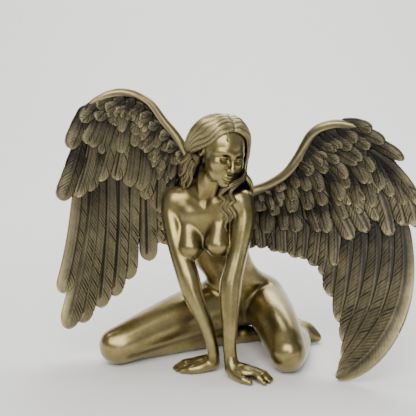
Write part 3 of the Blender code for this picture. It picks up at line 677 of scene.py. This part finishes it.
# Hair: two sheets of locks start at the parting. Each has five guides from the hairline to the back:
# six points over the skull in the head's frame, then three in the figure's frame to the ends.
hair = {
    "skull": (np.array([0, 10.0, 8.8]), np.array([20.0, 22.9, 19.6])),
    "capGrid": (64, 40), "capWear": 0.25, "lock": 1.15, "strand": 0.42, "lift": 0.8, "under": 1.4,
    "looseLook": {"ribs": 8, "groove": 0.2, "per": 9, "twist": 3.0, "flat": 0.75, "around": 32},
    "massLook": {"ribs": 34, "groove": 0.07, "per": 8, "twist": 1.6, "flat": 0.95, "around": 136},
    "massWay": (0, 1, 0.1),
    "right": {
        "locks": 8, "strands": 54,
        "scalp": [
            [(-1.5, -11.5, 23.2), (-8, -11.4, 21), (-13, -10, 16.5), (-16.8, -7.2, 9), (-20.3, -0.5, 1.8),
             (-22.4, 8, -5.5)],
            [(1, -4.5, 27.3), (-7, -4.5, 26.4), (-14.5, -4, 21.4), (-19.8, -1, 12.8), (-22.6, 6, 5),
             (-23, 13.5, -4)],
            [(3, 5, 29.3), (-7, 5, 28.4), (-16, 7, 23), (-21.5, 10, 14), (-23.3, 15.5, 5), (-22, 21, -5)],
            [(3, 16, 28.8), (-7, 18, 26.8), (-15.5, 20, 21), (-20, 23, 12.5), (-20.5, 26, 3),
             (-18.5, 28, -8)],
            [(2, 26, 24.5), (2, 30.4, 20.5), (1.5, 33.4, 15.5), (1, 34.8, 8), (0.5, 35, -2), (0.5, 35, -12)]],
        "tails": [
            [(-17.5, -1, 194.5), (-21.5, 1, 190), (-24.5, 3, 186)],
            [(-18, 4, 192), (-22, 7, 183), (-23, 9, 175)], [(-18, 12, 190), (-21, 15, 176), (-20, 19, 160)],
            [(-14, 22, 186), (-16, 28, 168), (-13, 33, 144)],
            [(-4.5, 35, 180), (-1, 41, 158), (1, 43.5, 128)]]},
    "left": {
        "locks": 7, "strands": 50,
        "scalp": [
            [(-1.5, -11.5, 23.2), (6, -12.4, 21.6), (13.5, -11.4, 16.5), (18.8, -10, 6), (19.8, -10.5, -4),
             (21.5, -11.5, -13)],
            [(1, -4.5, 27.3), (10, -5, 26.5), (18.5, -4, 19.5), (22.5, -3, 7), (23, -3, -5), (24, -4, -15)],
            [(3, 5, 29.3), (12, 6, 28.5), (20, 8, 20.5), (23.5, 9, 7), (24, 10, -6), (23.5, 11, -17)],
            [(3, 16, 28.8), (10.5, 19, 26.5), (17, 21, 19), (20, 22.5, 8), (20.5, 23, -5), (19.5, 23, -17)],
            [(2, 26, 24.5), (1, 30.2, 20.5), (0, 33.2, 15.5), (-0.5, 34.6, 8), (-1, 34.8, -2),
             (-1, 34.8, -12)]],
        "tails": [
            [(34, 0, 172), (37, 4, 165), (39, 8, 157)], [(37, 7, 170), (39.5, 10, 160), (39, 16, 150)],
            [(36, 15, 166), (36, 20, 152), (33, 26, 140)], [(27, 27, 166), (24, 33, 148), (20, 37, 130)],
            [(-7, 34.4, 180), (-3.5, 40.5, 157), (-1, 43.4, 125)]]},
    # loose locks: x, y, z, radius along the middle, then which way they face
    "loose": {
        "chest": (
            [(34, -3, 181, 2.6), (29.5, -8.5, 174, 3.0), (21.5, -13, 171, 2.8), (13.5, -14, 165.5, 2.4),
             (10.8, -13.5, 161, 1.9), (14.6, -12.8, 156.6, 1.8), (10.9, -12.4, 150, 1.8),
             (17.2, -12.6, 141.6, 1.7), (15, -13.6, 134.5, 1.4), (16.8, -14, 128, 0.6)],
            (0.1, -1, 0.3)),
        "chestInner": (
            [(34, -1, 176, 2.4), (26, -7.5, 170.5, 2.6), (19.5, -11, 163.5, 2.0), (22.5, -11, 156, 1.8),
             (17.4, -11.5, 150, 1.6), (21.4, -12.5, 143, 1.4), (19.4, -13, 137.5, 0.6)],
            (0.1, -1, 0.3)),
        "flip": (
            [(-15, -1, 197, 2.6), (-20, 1, 191, 2.8), (-24.4, 3, 187.6, 2.0), (-27, 3.6, 188.6, 0.5)],
            (-0.6, -1, 0.4)),
        "flipMiddle": (
            [(-14.5, 1, 194, 2.6), (-19.5, 4, 187, 2.8), (-21, 6, 180.5, 2.4), (-24, 7, 176, 1.7),
             (-26.4, 7, 175.6, 0.4)],
            (-0.6, -1, 0.2)),
        "flipLower": (
            [(-13.5, 3, 190, 2.6), (-18, 7, 182.5, 2.8), (-18.4, 9, 175, 2.4), (-21, 9.5, 169.4, 1.7),
             (-23.6, 9, 167.6, 0.4)],
            (-0.5, -1, 0.2)),
        "flipInner": (
            [(-12, 4, 188, 2.4), (-15.2, 8, 180, 2.4), (-15, 8, 172.5, 2.0), (-17.4, 7.5, 166.4, 1.3),
             (-19.6, 7, 164.2, 0.4)],
            (-0.5, -1, 0.2)),
        "brow": (
            [(9, -15.5, 221.5, 1.0), (13.8, -20.4, 218.2, 1.1), (17.2, -22.6, 214.4, 1.0),
             (16.2, -23.6, 210.8, 0.8), (17.6, -24, 208.4, 0.4)],
            (0.1, -1, 0.3)),
        "nape": (
            [(-16, 9, 190, 4), (-20, 12, 178, 4), (-22, 15, 166, 3.4), (-19, 20, 154, 1.2)],
            (-1, -0.3, 0.1))},
    # the mass beneath the sheets
    "mass": [
        [(-10, 8, 198, 7), (-15, 14, 184, 7), (-17, 20, 170, 6), (-15, 28, 154, 4.6)],
        [(3, 13, 206, 11), (2, 18, 190, 10), (0, 26, 170, 10), (-1, 32, 148, 9.5), (0, 36, 128, 7.5),
         (2, 38, 112, 4)],
        [(14, 9, 204, 13), (18, 13, 188, 11), (17, 18, 168, 9.5), (14, 26, 148, 7.5), (9, 33, 130, 4.5)]],
}


def sweepLock(rows, outward, ribs, groove, around, per, twist, flat):
    # a profile carried along a path: width w and thickness flat*w across the outward direction, with
    # ribs cut along it that turn by twist: radius (1 - groove |sin(ribs a / 2 + twist s)|), ends drawn
    # to a point. There are per points between two rows, and around points round the profile.
    path = smoothPath(rows, per)
    out = smoothPath(outward, per)
    centre, w = path[:, :3], path[:, 3]
    along = np.gradient(centre, axis=0)
    along /= np.linalg.norm(along, axis=1, keepdims=True) + 1e-9
    across = np.cross(along, out)
    across /= np.linalg.norm(across, axis=1, keepdims=True) + 1e-9
    up = np.cross(across, along)
    a = np.linspace(0, 2 * np.pi, around, endpoint=False)[None, :]
    s = np.linspace(0, 1, len(path))[:, None]
    rib = 1 - groove * np.abs(np.sin(ribs * a / 2 + twist * s))
    close = np.sqrt(np.clip(1 - np.abs(2 * s - 1) ** 10, 0, 1)) * 0.985 + 0.015
    x, y = np.cos(a) * rib * close * w[:, None], np.sin(a) * rib * close * w[:, None] * flat
    grid = centre[:, None, :] + across[:, None, :] * x[..., None] + up[:, None, :] * y[..., None]
    n, m = grid.shape[:2]
    i = np.arange(n * m).reshape(n, m)
    j = np.roll(i, -1, axis=1)
    quads = np.stack([i[:-1], j[:-1], j[1:], i[1:]], -1).reshape(-1, 4)
    ends = np.vstack([centre[:1], centre[-1:]])
    caps = []
    for ring, hub, turn in ((i[0], n * m, -1), (i[-1], n * m + 1, 1)):
        r0, r1 = ring[0::2], np.roll(ring, -1)[0::2]
        r2 = np.roll(ring, -2)[0::2]
        cap = np.stack([np.full(len(r0), hub), r0, r1, r2], 1)
        caps.append(cap[:, ::turn] if turn == -1 else cap)
    wear = (0.26 + 0.42 * (rib - 1 + groove) / max(groove, 1e-6) * np.ones_like(x)).ravel()
    return np.vstack([grid.reshape(-1, 3), ends]), np.vstack([quads] + caps), np.append(wear, [0.4, 0.4])


def hairSheet(side):
    # the guides span a surface P(s, t), s from the parting to the ends and t from front to back; its
    # outside is P + N (lift + lock |sin(pi a)|^0.8 + strand |sin(pi b)|), where a and b count locks and
    # strands along t and sway with s, and N is the outward normal
    scalp = headPoint(np.array(side["scalp"], float))
    net = np.concatenate([scalp, np.array(side["tails"], float)], axis=1)
    across = smoothPath(net.reshape(5, -1), 60).reshape(-1, 9, 3)
    grid = smoothPath(across.transpose(1, 0, 2).reshape(9, -1), 8).reshape(-1, len(across), 3)
    n, m = grid.shape[:2]
    s, t = np.linspace(0, 1, n)[:, None], np.linspace(0, 1, m)[None, :]
    out = np.cross(np.gradient(grid, axis=0), np.gradient(grid, axis=1))
    out /= np.linalg.norm(out, axis=-1, keepdims=True) + 1e-9
    if ((grid - headPoint(hair["skull"][0])) * out).sum() < 0:
        out = -out
    a = t * side["locks"] + 0.4 * np.sin(6.3 * s + 5 * t) * s + 0.15 * np.sin(14 * s + 11 * t)
    b = t * side["strands"] + 1.6 * np.sin(7 * s + 9 * t) * s
    lock, strand = np.abs(np.sin(np.pi * a)) ** 0.8, np.abs(np.sin(np.pi * b))
    rise = np.clip(s / 0.07, 0.03, 1) ** 0.5 * np.sqrt(1 - np.clip((s - 0.8) / 0.2, 0, 0.98) ** 2)
    hem = np.sqrt(1 - np.clip(1 - t * 22, 0, 1) ** 2) * 0.9 + 0.1
    height = (hair["lift"] + hair["lock"] * lock + hair["strand"] * strand) * rise * hem
    front = grid + out * height[..., None]
    back = grid - out * hair["under"] * (rise * hem)[..., None]
    wear = (0.48 + 0.36 * (lock - 0.6) + 0.5 * (strand - 0.5)).ravel()
    return *closedSheet(front, back), np.concatenate([wear, wear * 0.5])


def skullCap():
    # centre + radii (sin a sin p, -cos a sin p, cos p), with a fan of quads over each pole
    centre, radii = hair["skull"]
    around, down = hair["capGrid"]
    a = np.radians(np.linspace(0, 360, around, endpoint=False))[:, None]
    p = np.radians(np.linspace(0.5, 179.5, down))[None, :]
    cap = np.stack([np.sin(a) * np.sin(p), -np.cos(a) * np.sin(p), np.cos(p) * np.ones_like(a)], -1)
    cap = cap * radii + centre
    i = np.arange(around * down).reshape(around, down)
    j = np.roll(i, -1, axis=0)
    sides = np.stack([i[:, :-1], i[:, 1:], j[:, 1:], j[:, :-1]], -1).reshape(-1, 4)
    first, second, third = i[0::2], i[1::2], np.roll(i, -2, axis=0)[0::2]
    top = np.stack([np.full(around // 2, i.size), first[:, 0], second[:, 0], third[:, 0]], 1)
    bottom = np.stack([np.full(around // 2, i.size + 1), third[:, -1], second[:, -1], first[:, -1]], 1)
    points = np.vstack([cap.reshape(-1, 3), centre + [[0, 0, radii[2]], [0, 0, -radii[2]]]])
    return headPoint(points), np.vstack([sides, top, bottom]), np.full(len(points), hair["capWear"])


def lockOf(rowsOf, way, form):
    p = np.array(rowsOf, float)
    return sweepLock(p, np.tile(np.array(way, float), (len(p), 1)), **form)


def buildHair():
    forms = [hairSheet(hair["right"]), hairSheet(hair["left"])]
    forms += [lockOf(rowsOf, way, hair["looseLook"]) for rowsOf, way in hair["loose"].values()]
    forms.append(skullCap())
    forms += [lockOf(rowsOf, hair["massWay"], hair["massLook"]) for rowsOf in hair["mass"]]
    return stitch(forms)


points, quads, wear = buildHair()
angelHair = makePiece("angelHair", points, quads, wear, hairBronze)
print("hair laid")

# Wings: feathers run from a root line to a tip line, both in x, z; the wing's middle surface gives y.
# A row is its two lines, how many feathers, half width, bow of the first and last, layer, where the tip
# rounds off, lift of the tip, wander (how far a feather strays from its place) and points across.
wings = {
    "base": 0.9, "layerStep": 0.45, "rise": 0.9, "barbMm": 3.7, "barbDepth": (0.42, 0.26), "shaft": 0.3,
    "slant": 1.35, "under": 3.0, "cleft": (0.34, 0.12), "cleftDepth": 1.1, "tilt": (1.5, 0.7), "plainRows": 8,
    # coverts begin at this layer, and a row that wanders no more than steady ends in a bare feather
    "covertLayer": 2, "steady": 0.12,
    "armLook": {"ribs": 5, "groove": 0.05, "per": 10, "twist": 9, "flat": 0.95, "around": 40}, "armOut": 1.6,
    # how much lighter the leading edge is, then how much darker the whole right and the whole left wing are
    # made
    "armWear": 0.22, "rightWear": -0.01, "leftWear": -0.105,
    "right": {
        "backing": (
            [(-98, 237), (-84, 244), (-68, 244), (-52, 234.5), (-33, 210), (-17, 177)],
            [(-112, 176), (-98, 176), (-80, 178), (-62, 176), (-46, 160), (-30, 136)],
            16, 9.5, (0.0, 0.0), -0.6, 0.7, 0, 0, 7),
        "primaries": (
            [(-106, 181), (-95, 194), (-76, 198), (-55, 193), (-37, 170)],
            [(-130, 32), (-118, 35), (-108, 37), (-97, 53), (-87, 59), (-77, 70), (-61, 85), (-53, 96),
             (-45, 108), (-38, 104)],
            8, 8.7, (0.03, 0.0), 0, 0.88, 0.3, 0.12, 15),
        "outermost": (
            [(-117, 195), (-116, 195)], [(-134, 65), (-133.5, 65)], 1, 7.4, (0.04, 0.04), 1, 0.9, 0.3, 0, 13),
        "greaterCoverts": (
            [(-114, 210), (-100, 215), (-84, 218), (-68, 214), (-53, 203), (-42, 189), (-33, 173)],
            [(-134, 150), (-117, 156), (-101, 160), (-82, 164), (-68, 158), (-58, 144), (-52, 128),
             (-43, 116)],
            11, 7.4, (0.02, 0.02), 2, 0.8, 1.0, 0.7, 11),
        "middleCoverts": (
            [(-111, 233), (-98, 233), (-84, 231), (-69, 225), (-55, 216), (-44, 205), (-33, 192)],
            [(-126, 197), (-116, 202), (-104, 194), (-93, 193), (-76, 194), (-64, 197), (-53, 184),
             (-45, 175), (-35, 167)],
            10, 7.2, (0.02, 0.02), 3, 0.66, 1.5, 1, 11),
        "lesserCoverts": (
            [(-99, 238), (-87, 239.5), (-75, 239), (-63, 233.5), (-52, 223), (-41, 209), (-30, 194)],
            [(-116, 222), (-98, 221), (-84, 215), (-70, 211), (-57, 203), (-44, 194), (-31, 181)],
            9, 6.8, (0.02, 0.02), 4, 0.62, 1.5, 1.2, 11),
        "upperCoverts": (
            [(-89, 240.5), (-75, 242), (-63, 237.5), (-53, 228), (-42, 216), (-31, 201), (-23, 191)],
            [(-102, 236), (-89, 232), (-76, 229), (-63, 225), (-51, 214), (-40, 202), (-29, 188)],
            9, 6.2, (0.02, 0.02), 5, 0.6, 1.2, 1.2, 11),
        "downInner": (
            [(-52, 222), (-46, 206), (-38, 190), (-30, 170), (-24, 150)],
            [(-62, 204), (-54, 188), (-46, 172), (-38, 152), (-32, 132)],
            12, 4.6, (0.05, -0.05), 4.6, 0.6, 1.4, 2.2, 9),
        "downUpper": (
            [(-86, 237), (-75, 237), (-65, 231), (-56, 221)],
            [(-92, 226), (-80, 224), (-68, 219), (-58, 208)], 9, 4.8, (0.06, -0.06), 5.4, 0.6, 1.4, 2.4, 9)},
    "rightEdge": [
        (-6, 132, 7), (-10, 158, 6), (-17, 184, 4.6), (-28, 205, 4.2), (-41, 221, 4), (-52, 236, 3.8),
        (-62, 243, 3.6), (-71, 246, 3.9), (-81, 246.5, 4.0), (-92, 244, 3.8), (-101, 240, 3.2),
        (-108, 236.5, 2.4)],
    "left": {
        "backing": (
            [(24, 141), (44, 152), (67, 167), (80, 186), (89, 205), (101, 216), (115, 218), (129, 214),
             (139, 207)],
            [(26, 116), (48, 116), (72, 118), (96, 118), (116, 114), (132, 116), (147, 124), (158, 140),
             (170, 162)],
            16, 10.5, (0.0, 0.02), -0.6, 0.7, 0, 0, 7),
        "primaries": (
            [(118, 119), (128, 127), (138, 134), (149, 142), (159, 148), (167.4, 151)],
            [(112, 66), (117, 49), (119.5, 36), (120.5, 24.5), (118, 15), (115, 7), (113, 3)],
            6, 8.9, (0.0, 0.165), 0, 0.7, 0.3, 0, 15),
        "secondaries": (
            [(20, 126), (41, 126), (53, 126), (67, 127), (80, 128), (94, 129), (107, 130), (115, 136)],
            [(20, 100), (41, 102), (52, 101), (62, 100), (71, 98), (80, 96), (88, 95), (97, 90), (105, 84),
             (116, 92)],
            10, 6.4, (0.0, 0.03), 1, 0.72, 0.8, 0.3, 11),
        "outerCoverts": (
            [(115, 146), (127, 155), (137, 164), (147, 172), (156, 178), (164, 180)],
            [(131, 116), (144, 125), (153, 135), (163, 125), (173, 132), (183, 132)],
            6, 8.0, (0.02, 0.07), 1.6, 0.7, 1.0, 0.4, 11),
        "greaterCoverts": (
            [(22, 140), (47, 142), (62, 145), (78, 148), (92, 151), (104, 157), (114, 165), (124, 174),
             (133, 184)],
            [(22, 118), (45, 120), (60, 118), (74, 119), (91, 119), (108, 121), (121, 131), (130, 146),
             (143, 155), (154, 160)],
            11, 7.2, (0.02, 0.03), 2.4, 0.64, 1.4, 0.8, 11),
        "middleCoverts": (
            [(30, 149), (50, 154), (65, 159), (79, 165), (91, 170), (102, 177), (110, 187), (121, 196),
             (129, 204)],
            [(28, 134), (49, 135), (64, 134), (79, 138), (94, 141), (108, 144), (120, 152), (131, 161),
             (141, 168), (149, 178)],
            10, 7.0, (0.02, 0.03), 3.2, 0.6, 1.5, 1, 11),
        "lesserCoverts": (
            [(54, 156), (66, 162), (79, 172), (89, 182), (96, 192), (105, 199), (115, 207), (125, 213)],
            [(52, 146), (67, 146), (81, 149), (95, 158), (113, 161), (123, 169), (131, 180), (139, 190),
             (145, 199)],
            9, 6.6, (0.02, 0.02), 4, 0.6, 1.5, 1.2, 11),
        "upperCoverts": (
            [(58, 158), (68, 165), (78, 176), (86, 189), (91, 199), (98, 206), (108, 213), (118, 217)],
            [(56, 153), (69, 155), (83, 162), (95, 171), (109, 176), (117, 186), (126, 196), (134, 205)],
            8, 6.2, (0.02, 0.02), 4.8, 0.6, 1.3, 1.2, 11),
        "fillCoverts": (
            [(112, 176), (124, 182), (136, 186)], [(124, 146), (137, 142), (149, 146)],
            4, 6.8, (0.02, 0.03), 2.9, 0.62, 1.4, 1, 11),
        "fillOuter": (
            [(134, 196), (144, 193), (153, 187), (160, 181)],
            [(146, 166), (156, 161), (166, 156), (175, 150)], 4, 6.6, (0.03, 0.05), 2.9, 0.62, 1.2, 0.8, 11),
        "fingers": (
            [(120, 220), (127, 214), (134, 207), (143, 197)],
            [(146, 215), (157, 204), (173, 189), (185, 151)], 4, 5.4, (0.06, 0.08), 3.4, 0.66, 0.8, 0, 11),
        "downInner": (
            [(20, 139), (34, 147), (48, 153), (62, 160)], [(22, 128), (38, 134), (54, 138), (70, 143)],
            12, 4.6, (0.06, -0.06), 5.0, 0.6, 1.4, 2.2, 9),
        "downUpper": (
            [(80, 182), (88, 196), (96, 206), (108, 212)], [(94, 172), (104, 184), (112, 194), (122, 200)],
            10, 4.6, (0.06, -0.06), 5.8, 0.6, 1.4, 2.2, 9)},
    "leftEdge": [
        (8, 134, 7), (22, 147.5, 6), (41, 155, 5.2), (56, 161, 5), (71.5, 172, 5), (81.5, 186, 5),
        (87.5, 198, 5), (93, 208.5, 5), (101, 215.5, 4.8), (114, 219.5, 4.4), (127, 219, 3.8),
        (136, 216.5, 2.8)],
}


def rightDepth(x, z):
    # how far back the middle of the right wing lies: a gentle saddle
    x, z = x / 100, z / 100
    return 31 - 13 * x + 11 * z - 27 * x * x - 8 * x * z - 5 * z * z


def leftDepth(x, z):
    # the left wing comes forward as it goes out and down, and bends in to the back at its root
    u, w = x / 100, z / 100
    return 31 - 60 * u + 45 * w - 5 * u * u + 23 * u * w - 19 * w * w - 20 * np.exp(-((x - 5) / 30) ** 2)


def vaneCuts(rows, v, over, s, kind, ridged, chance):
    # every fourth row is the groove between two barbs and every odd one a faint line; the vane that
    # stands higher is cut deeper. A cleft is a groove that splits the vane out to the feather's edge.
    place = np.arange(rows)[:, None]
    groove = ((place % 4 == 0) * chance.uniform(0.4, 1, (rows, 1)) + (place % 2 == 1) * 0.2) * ridged
    groove = groove * np.where(over > 0, 1.0, (0.25, 0.8)[kind])
    torn = (chance.random((rows, 2)) < wings["cleft"][kind])[:, (v[0] > 0).astype(int)]
    cleft = torn * (place % 4 == 0) * ridged * ((over > 0) | (kind == 1))
    cleft = cleft * np.clip((np.abs(v) - 0.2) / 0.4, 0, 1)
    return groove, cleft * np.clip((s - 0.25) / 0.2, 0, 1) * np.clip((0.95 - s) / 0.1, 0, 1)


def makeFeather(
    depth, root, tip, halfWidth, bow, layer, blunt, lift, across, chance, hand, lap, ridged, outer):
    # rows run along the barbs: row s meets the shaft at s and slants towards the tip, so
    # u = s + |v| slant. The centre line is a quadratic bow from root to tip, rounded off at both ends,
    # height = base + layer + rise u + tilt over + lift near the tip + crown + shaft - grooves, where
    # over = hand v is 1 at the edge that stands highest, and lap is about where the neighbour's edge
    # lies on this feather. A feather of the backing is plain: of all this it has base, layer and shaft.
    along = tip - root
    side = np.array([-along[1], along[0]]) / np.linalg.norm(along)
    root = root - along / np.linalg.norm(along) * wings["under"] * (layer > 0)
    length = np.linalg.norm(tip - root)
    rows = int(round(length / wings["barbMm"])) * 4 + 1 if ridged else wings["plainRows"]
    s = np.linspace(0, 1, rows)[:, None]
    v = np.linspace(-1, 1, across)[None, :]
    over = hand * v
    slant = np.minimum(wings["slant"] * halfWidth / length, 0.92 * (1 - s)) * np.minimum(1, s / 0.2)
    u = s + np.abs(v) * slant * ridged
    kind = 0 if layer < wings["covertLayer"] else 1  # the long flight feathers are cut deeper
    groove, cleft = vaneCuts(rows, v, over, s, kind, ridged, chance)
    bend = (root + tip) / 2 + side * bow * length * 2
    w = u[..., None]
    middle = (1 - w) ** 2 * root + 2 * w * (1 - w) * bend + w ** 2 * tip
    tangent = 2 * (1 - w) * (bend - root) + 2 * w * (tip - bend)
    tangent = tangent / np.linalg.norm(tangent, axis=-1, keepdims=True)
    normal = np.stack([-tangent[..., 1], tangent[..., 0]], -1)
    roundTip = np.sqrt(np.clip(1 - (np.clip((u - blunt) / (1 - blunt), 0, 1)) ** 2.4, 0.0016, 1))
    roundRoot = np.sqrt(np.clip(u / 0.12, 0.02, 1))
    width = halfWidth * (0.62 + 0.38 * np.clip(u / 0.45, 0, 1) ** 0.8) * roundTip * roundRoot
    width = width * (1 - 0.10 * cleft * (np.abs(v) > 0.9))
    flat = middle + normal * (v * width)[..., None]
    x, z = flat[..., 0], flat[..., 1]
    inner = np.minimum(1, 4 * (1 - np.abs(v))) * np.clip((1 - s) / 0.12, 0, 1)
    shaft = np.exp(-(v / 0.10) ** 2) * (1 - s) ** 0.3
    beside = np.exp(-((np.abs(v) - 0.2) / 0.08) ** 2)
    crown = (1 - v * v) * np.minimum(1, 1.2 * roundTip)
    curl = np.clip((u - 0.45) / 0.55, 0, 1) ** 2
    relief = (wings["rise"] * u + wings["tilt"][kind] * over + lift * curl + 1.1 * crown) * ridged
    height = wings["base"] + layer * wings["layerStep"] + relief
    height = height + wings["shaft"] * shaft - 0.15 * beside
    height = height - wings["barbDepth"][kind] * groove * inner * (1 - shaft) - wings["cleftDepth"] * cleft
    e = 0.5  # step in mm for the slope of the wing's middle surface
    slopeX = (depth(x + e, z) - depth(x - e, z)) / (2 * e)
    slopeZ = (depth(x, z + e) - depth(x, z - e)) / (2 * e)
    out = np.stack([slopeX, -np.ones_like(x), slopeZ], -1)
    out = out / np.linalg.norm(out, axis=-1, keepdims=True)
    mid = np.stack([x, depth(x, z), z], -1)
    # painted shadow where the row above covers it and beside the neighbour's raised edge; rubbed at the tip
    # and edges
    bare = np.clip((u - (0.12, 0.36)[kind]) / 0.3, 0, 1)
    rubbed = np.clip((u - 0.78) / 0.22, 0, 1) ** 1.5 * (0.4 + 0.6 * v * v)
    rubbed = rubbed + 0.5 * np.clip((np.abs(v) - 0.78) / 0.22, 0, 1) * bare
    # painted shadow line beside the neighbour's raised edge on the flight feathers
    paintedEdgeShadow = (0.42 - 0.26 * abs(outer)) * np.exp(-((over - lap - 0.1) / 0.14) ** 2) * (kind == 0) * (s < 0.93)
    wear = (0.13, 0.07)[kind] + 0.24 * bare - paintedEdgeShadow + 0.08 * crown + 0.42 * rubbed
    wear = wear + 0.4 * abs(outer) * np.clip((outer * v - 0.5) / 0.5, 0, 1)
    wear = wear - (0.16, 0.12)[kind] * groove * inner - 0.14 * beside * (s < 0.9) - 0.35 * cleft
    # painted shade along the low edge that lies under the neighbour
    wear = wear - 0.14 * np.clip((-0.6 - over) / 0.4, 0, 1)
    wear = np.clip(wear * np.ones_like(x), 0, 1).ravel()
    away = out * height[..., None]
    return *closedSheet(mid + away, mid - away), np.concatenate([wear, wear * 0.9])


def buildWing(rows, edge, depth, seed, hand):
    # hand is 1 for the right wing and -1 for the left. Wander turns, stretches, widens and lifts each
    # feather a little; the one on the wing's outline stays put.
    chance = np.random.default_rng(seed)
    forms = []
    for roots, tips, count, halfWidth, bow, layer, blunt, lift, wander, across in rows.values():
        roots, tips = smoothPath(roots, 10), smoothPath(tips, 10)
        outline = 0 if hand > 0 else count - 1
        # feathers lie this far apart, measured halfway along them where both lines have as many points
        spacing = halfWidth * 1.3
        if len(roots) == len(tips):
            halfway = (roots[:, :2] + tips[:, :2]) / 2
            spacing = np.linalg.norm(np.diff(halfway, axis=0), axis=1).sum() / max(count - 1, 1)
        lap = float(np.clip(1 - spacing / halfWidth, -0.6, 0.1))
        for k in range(count):
            share = k / max(count - 1, 1)
            root, tip = (np.array([np.interp(share, np.linspace(0, 1, len(g)), g[:, c]) for c in (0, 1)])
                         for g in (roots, tips))
            stray = chance.normal(0, 1, 6) * wander * (k != outline)
            a = math.radians(np.clip(stray[0] * 4.5, -22, 22))
            along = (tip - root) * (1 + np.clip(0.06 * stray[1], -0.2, 0.12))
            tip = root + np.array([along[0] * math.cos(a) - along[1] * math.sin(a),
                                   along[0] * math.sin(a) + along[1] * math.cos(a)])
            wide = halfWidth * (1 + np.clip(0.07 * stray[2], -0.15, 0.2))
            bowed = bow[0] + (bow[1] - bow[0]) * share + 0.03 * stray[3]
            raised = layer + 0.35 * np.clip(stray[4], -1.5, 1.5)
            lifted = lift * (1 + 0.3 * np.clip(stray[5], -1.5, 1.5))
            outer = -hand * (k == outline and wander <= wings["steady"])  # which way its bare edge faces
            forms.append(
                makeFeather(
                    depth, root, tip, wide, bowed, raised, blunt, lifted, across, chance, hand, lap,
                    layer >= 0, outer))
    # the leading edge is one bar over the roots of the feathers
    arm = [(x, float(depth(x, z)) - wings["armOut"], z, r) for x, z, r in edge]
    points, quads, wear = lockOf(arm, (0, -1, 0), wings["armLook"])
    forms.append((points, quads, wear + wings["armWear"]))
    return stitch(forms)


def featheredWing(name, side, depth, seed, hand):
    points, quads, wear = buildWing(wings[side], wings[side + "Edge"], depth, seed, hand)
    return makePiece(name, points, quads, wear + wings[side + "Wear"], wingBronze)


rightWing = featheredWing("rightWing", "right", rightDepth, 11, 1)
leftWing = featheredWing("leftWing", "left", leftDepth, 23, -1)
print("wings feathered")

for piece in (angelBody, angelHands, angelHead, angelHair, rightWing, leftWing):
    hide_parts("kneeling_angel")

# Studio: a pale floor that sweeps up behind, a wide soft lamp high in front at the left, a narrow one
# in front, one from behind for the edges and one for the wall. A lamp is its place, what it looks at,
# width and height, all in metres, then watts and colour.
studio = {
    "floor": "#efefee", "sweepBack": 0.9, "sweepUp": 1.6, "sweepRound": 0.5, "width": 4.0, "front": -3.0,
    "paperRoughness": 0.9, "room": "#e9ebec", "roomStrength": 0.42,
    "lamps": {
        "keyLamp": ((-0.36, -1.1, 1.15), (0, 0, 0.12), (1.1, 1.2), 23, "#fffaf2"),
        "fillLamp": ((0.2, -1.3, 0.62), (0, 0, 0.12), (0.25, 0.7), 4.5, "#f6f8ff"),
        "backLamp": ((0.3, 0.8, 1.3), (0, 0, 0.15), (1.2, 0.5), 12, "#ffffff"),
        "wallLamp": ((0, 0.45, 1.5), (0, 1.4, 0.5), (2.4, 0.3), 26, "#ffffff")},
}


def buildFloor():
    # profile: flat, then a quarter circle, then straight up, carried along x
    r = studio["sweepRound"]
    a = np.linspace(0, np.pi / 2, 16)
    back, wide = studio["sweepBack"], studio["width"]
    bent = np.column_stack([back + r * np.sin(a), r - r * np.cos(a)])
    profile = np.vstack([[(studio["front"], 0.0)], bent, [(back + r, studio["sweepUp"])]])
    points = np.vstack([np.column_stack([np.full(len(profile), side * wide), profile]) for side in (-1, 1)])
    n = len(profile)
    i = np.arange(n - 1)
    faces = np.stack([i, i + n, i + n + 1, i + 1], 1)
    mesh = bpy.data.meshes.new("studioFloor")
    mesh.from_pydata(points.tolist(), [], faces.tolist())
    mesh.shade_smooth()
    floor = bpy.data.objects.new("studioFloor", mesh)
    bpy.context.scene.collection.objects.link(floor)
    material = bpy.data.materials.new("mattePaper")
    material.use_nodes = True
    shader = material.node_tree.nodes["Principled BSDF"]
    shader.inputs["Base Color"].default_value = linear(studio["floor"])
    shader.inputs["Roughness"].default_value = studio["paperRoughness"]
    mesh.materials.append(material)


buildFloor()


def addLamp(name, place, aim, size, power, colour):
    lamp = bpy.data.lights.new(name, "AREA")
    lamp.shape = "RECTANGLE"
    lamp.size, lamp.size_y = size
    lamp.energy = power
    lamp.color = linear(colour)[:3]
    holder = bpy.data.objects.new(name, lamp)
    bpy.context.scene.collection.objects.link(holder)
    holder.location = place
    way = np.array(aim, float) - np.array(place, float)
    way = way / np.linalg.norm(way)
    holder.rotation_euler = (math.acos(-way[2]), 0, math.atan2(way[1], way[0]) - math.pi / 2)


for name, (place, aim, size, power, colour) in studio["lamps"].items():
    addLamp(name, place, aim, size, power, colour)

world = bpy.data.worlds.new("softRoom")
world.use_nodes = True
world.node_tree.nodes["Background"].inputs["Color"].default_value = linear(studio["room"])
world.node_tree.nodes["Background"].inputs["Strength"].default_value = studio["roomStrength"]
bpy.context.scene.world = world

# Camera: 0.8 m from the figure, 11 degrees above it and 26 degrees wide.
view = {"elevation": 11.0, "distance": 800.0, "height": 147.0, "lens": 77.97, "sensor": 36.0}
raised = math.radians(view["elevation"])
camera = bpy.data.cameras.new("studioCamera")
camera.lens = view["lens"]
camera.sensor_width = view["sensor"]
holder = bpy.data.objects.new("studioCamera", camera)
bpy.context.scene.collection.objects.link(holder)
holder.location = toMetres([0, -view["distance"] * math.cos(raised),
                            view["height"] + view["distance"] * math.sin(raised)])
holder.rotation_euler = (math.pi / 2 - raised, 0, 0)
bpy.context.scene.camera = holder
print("studio lit")
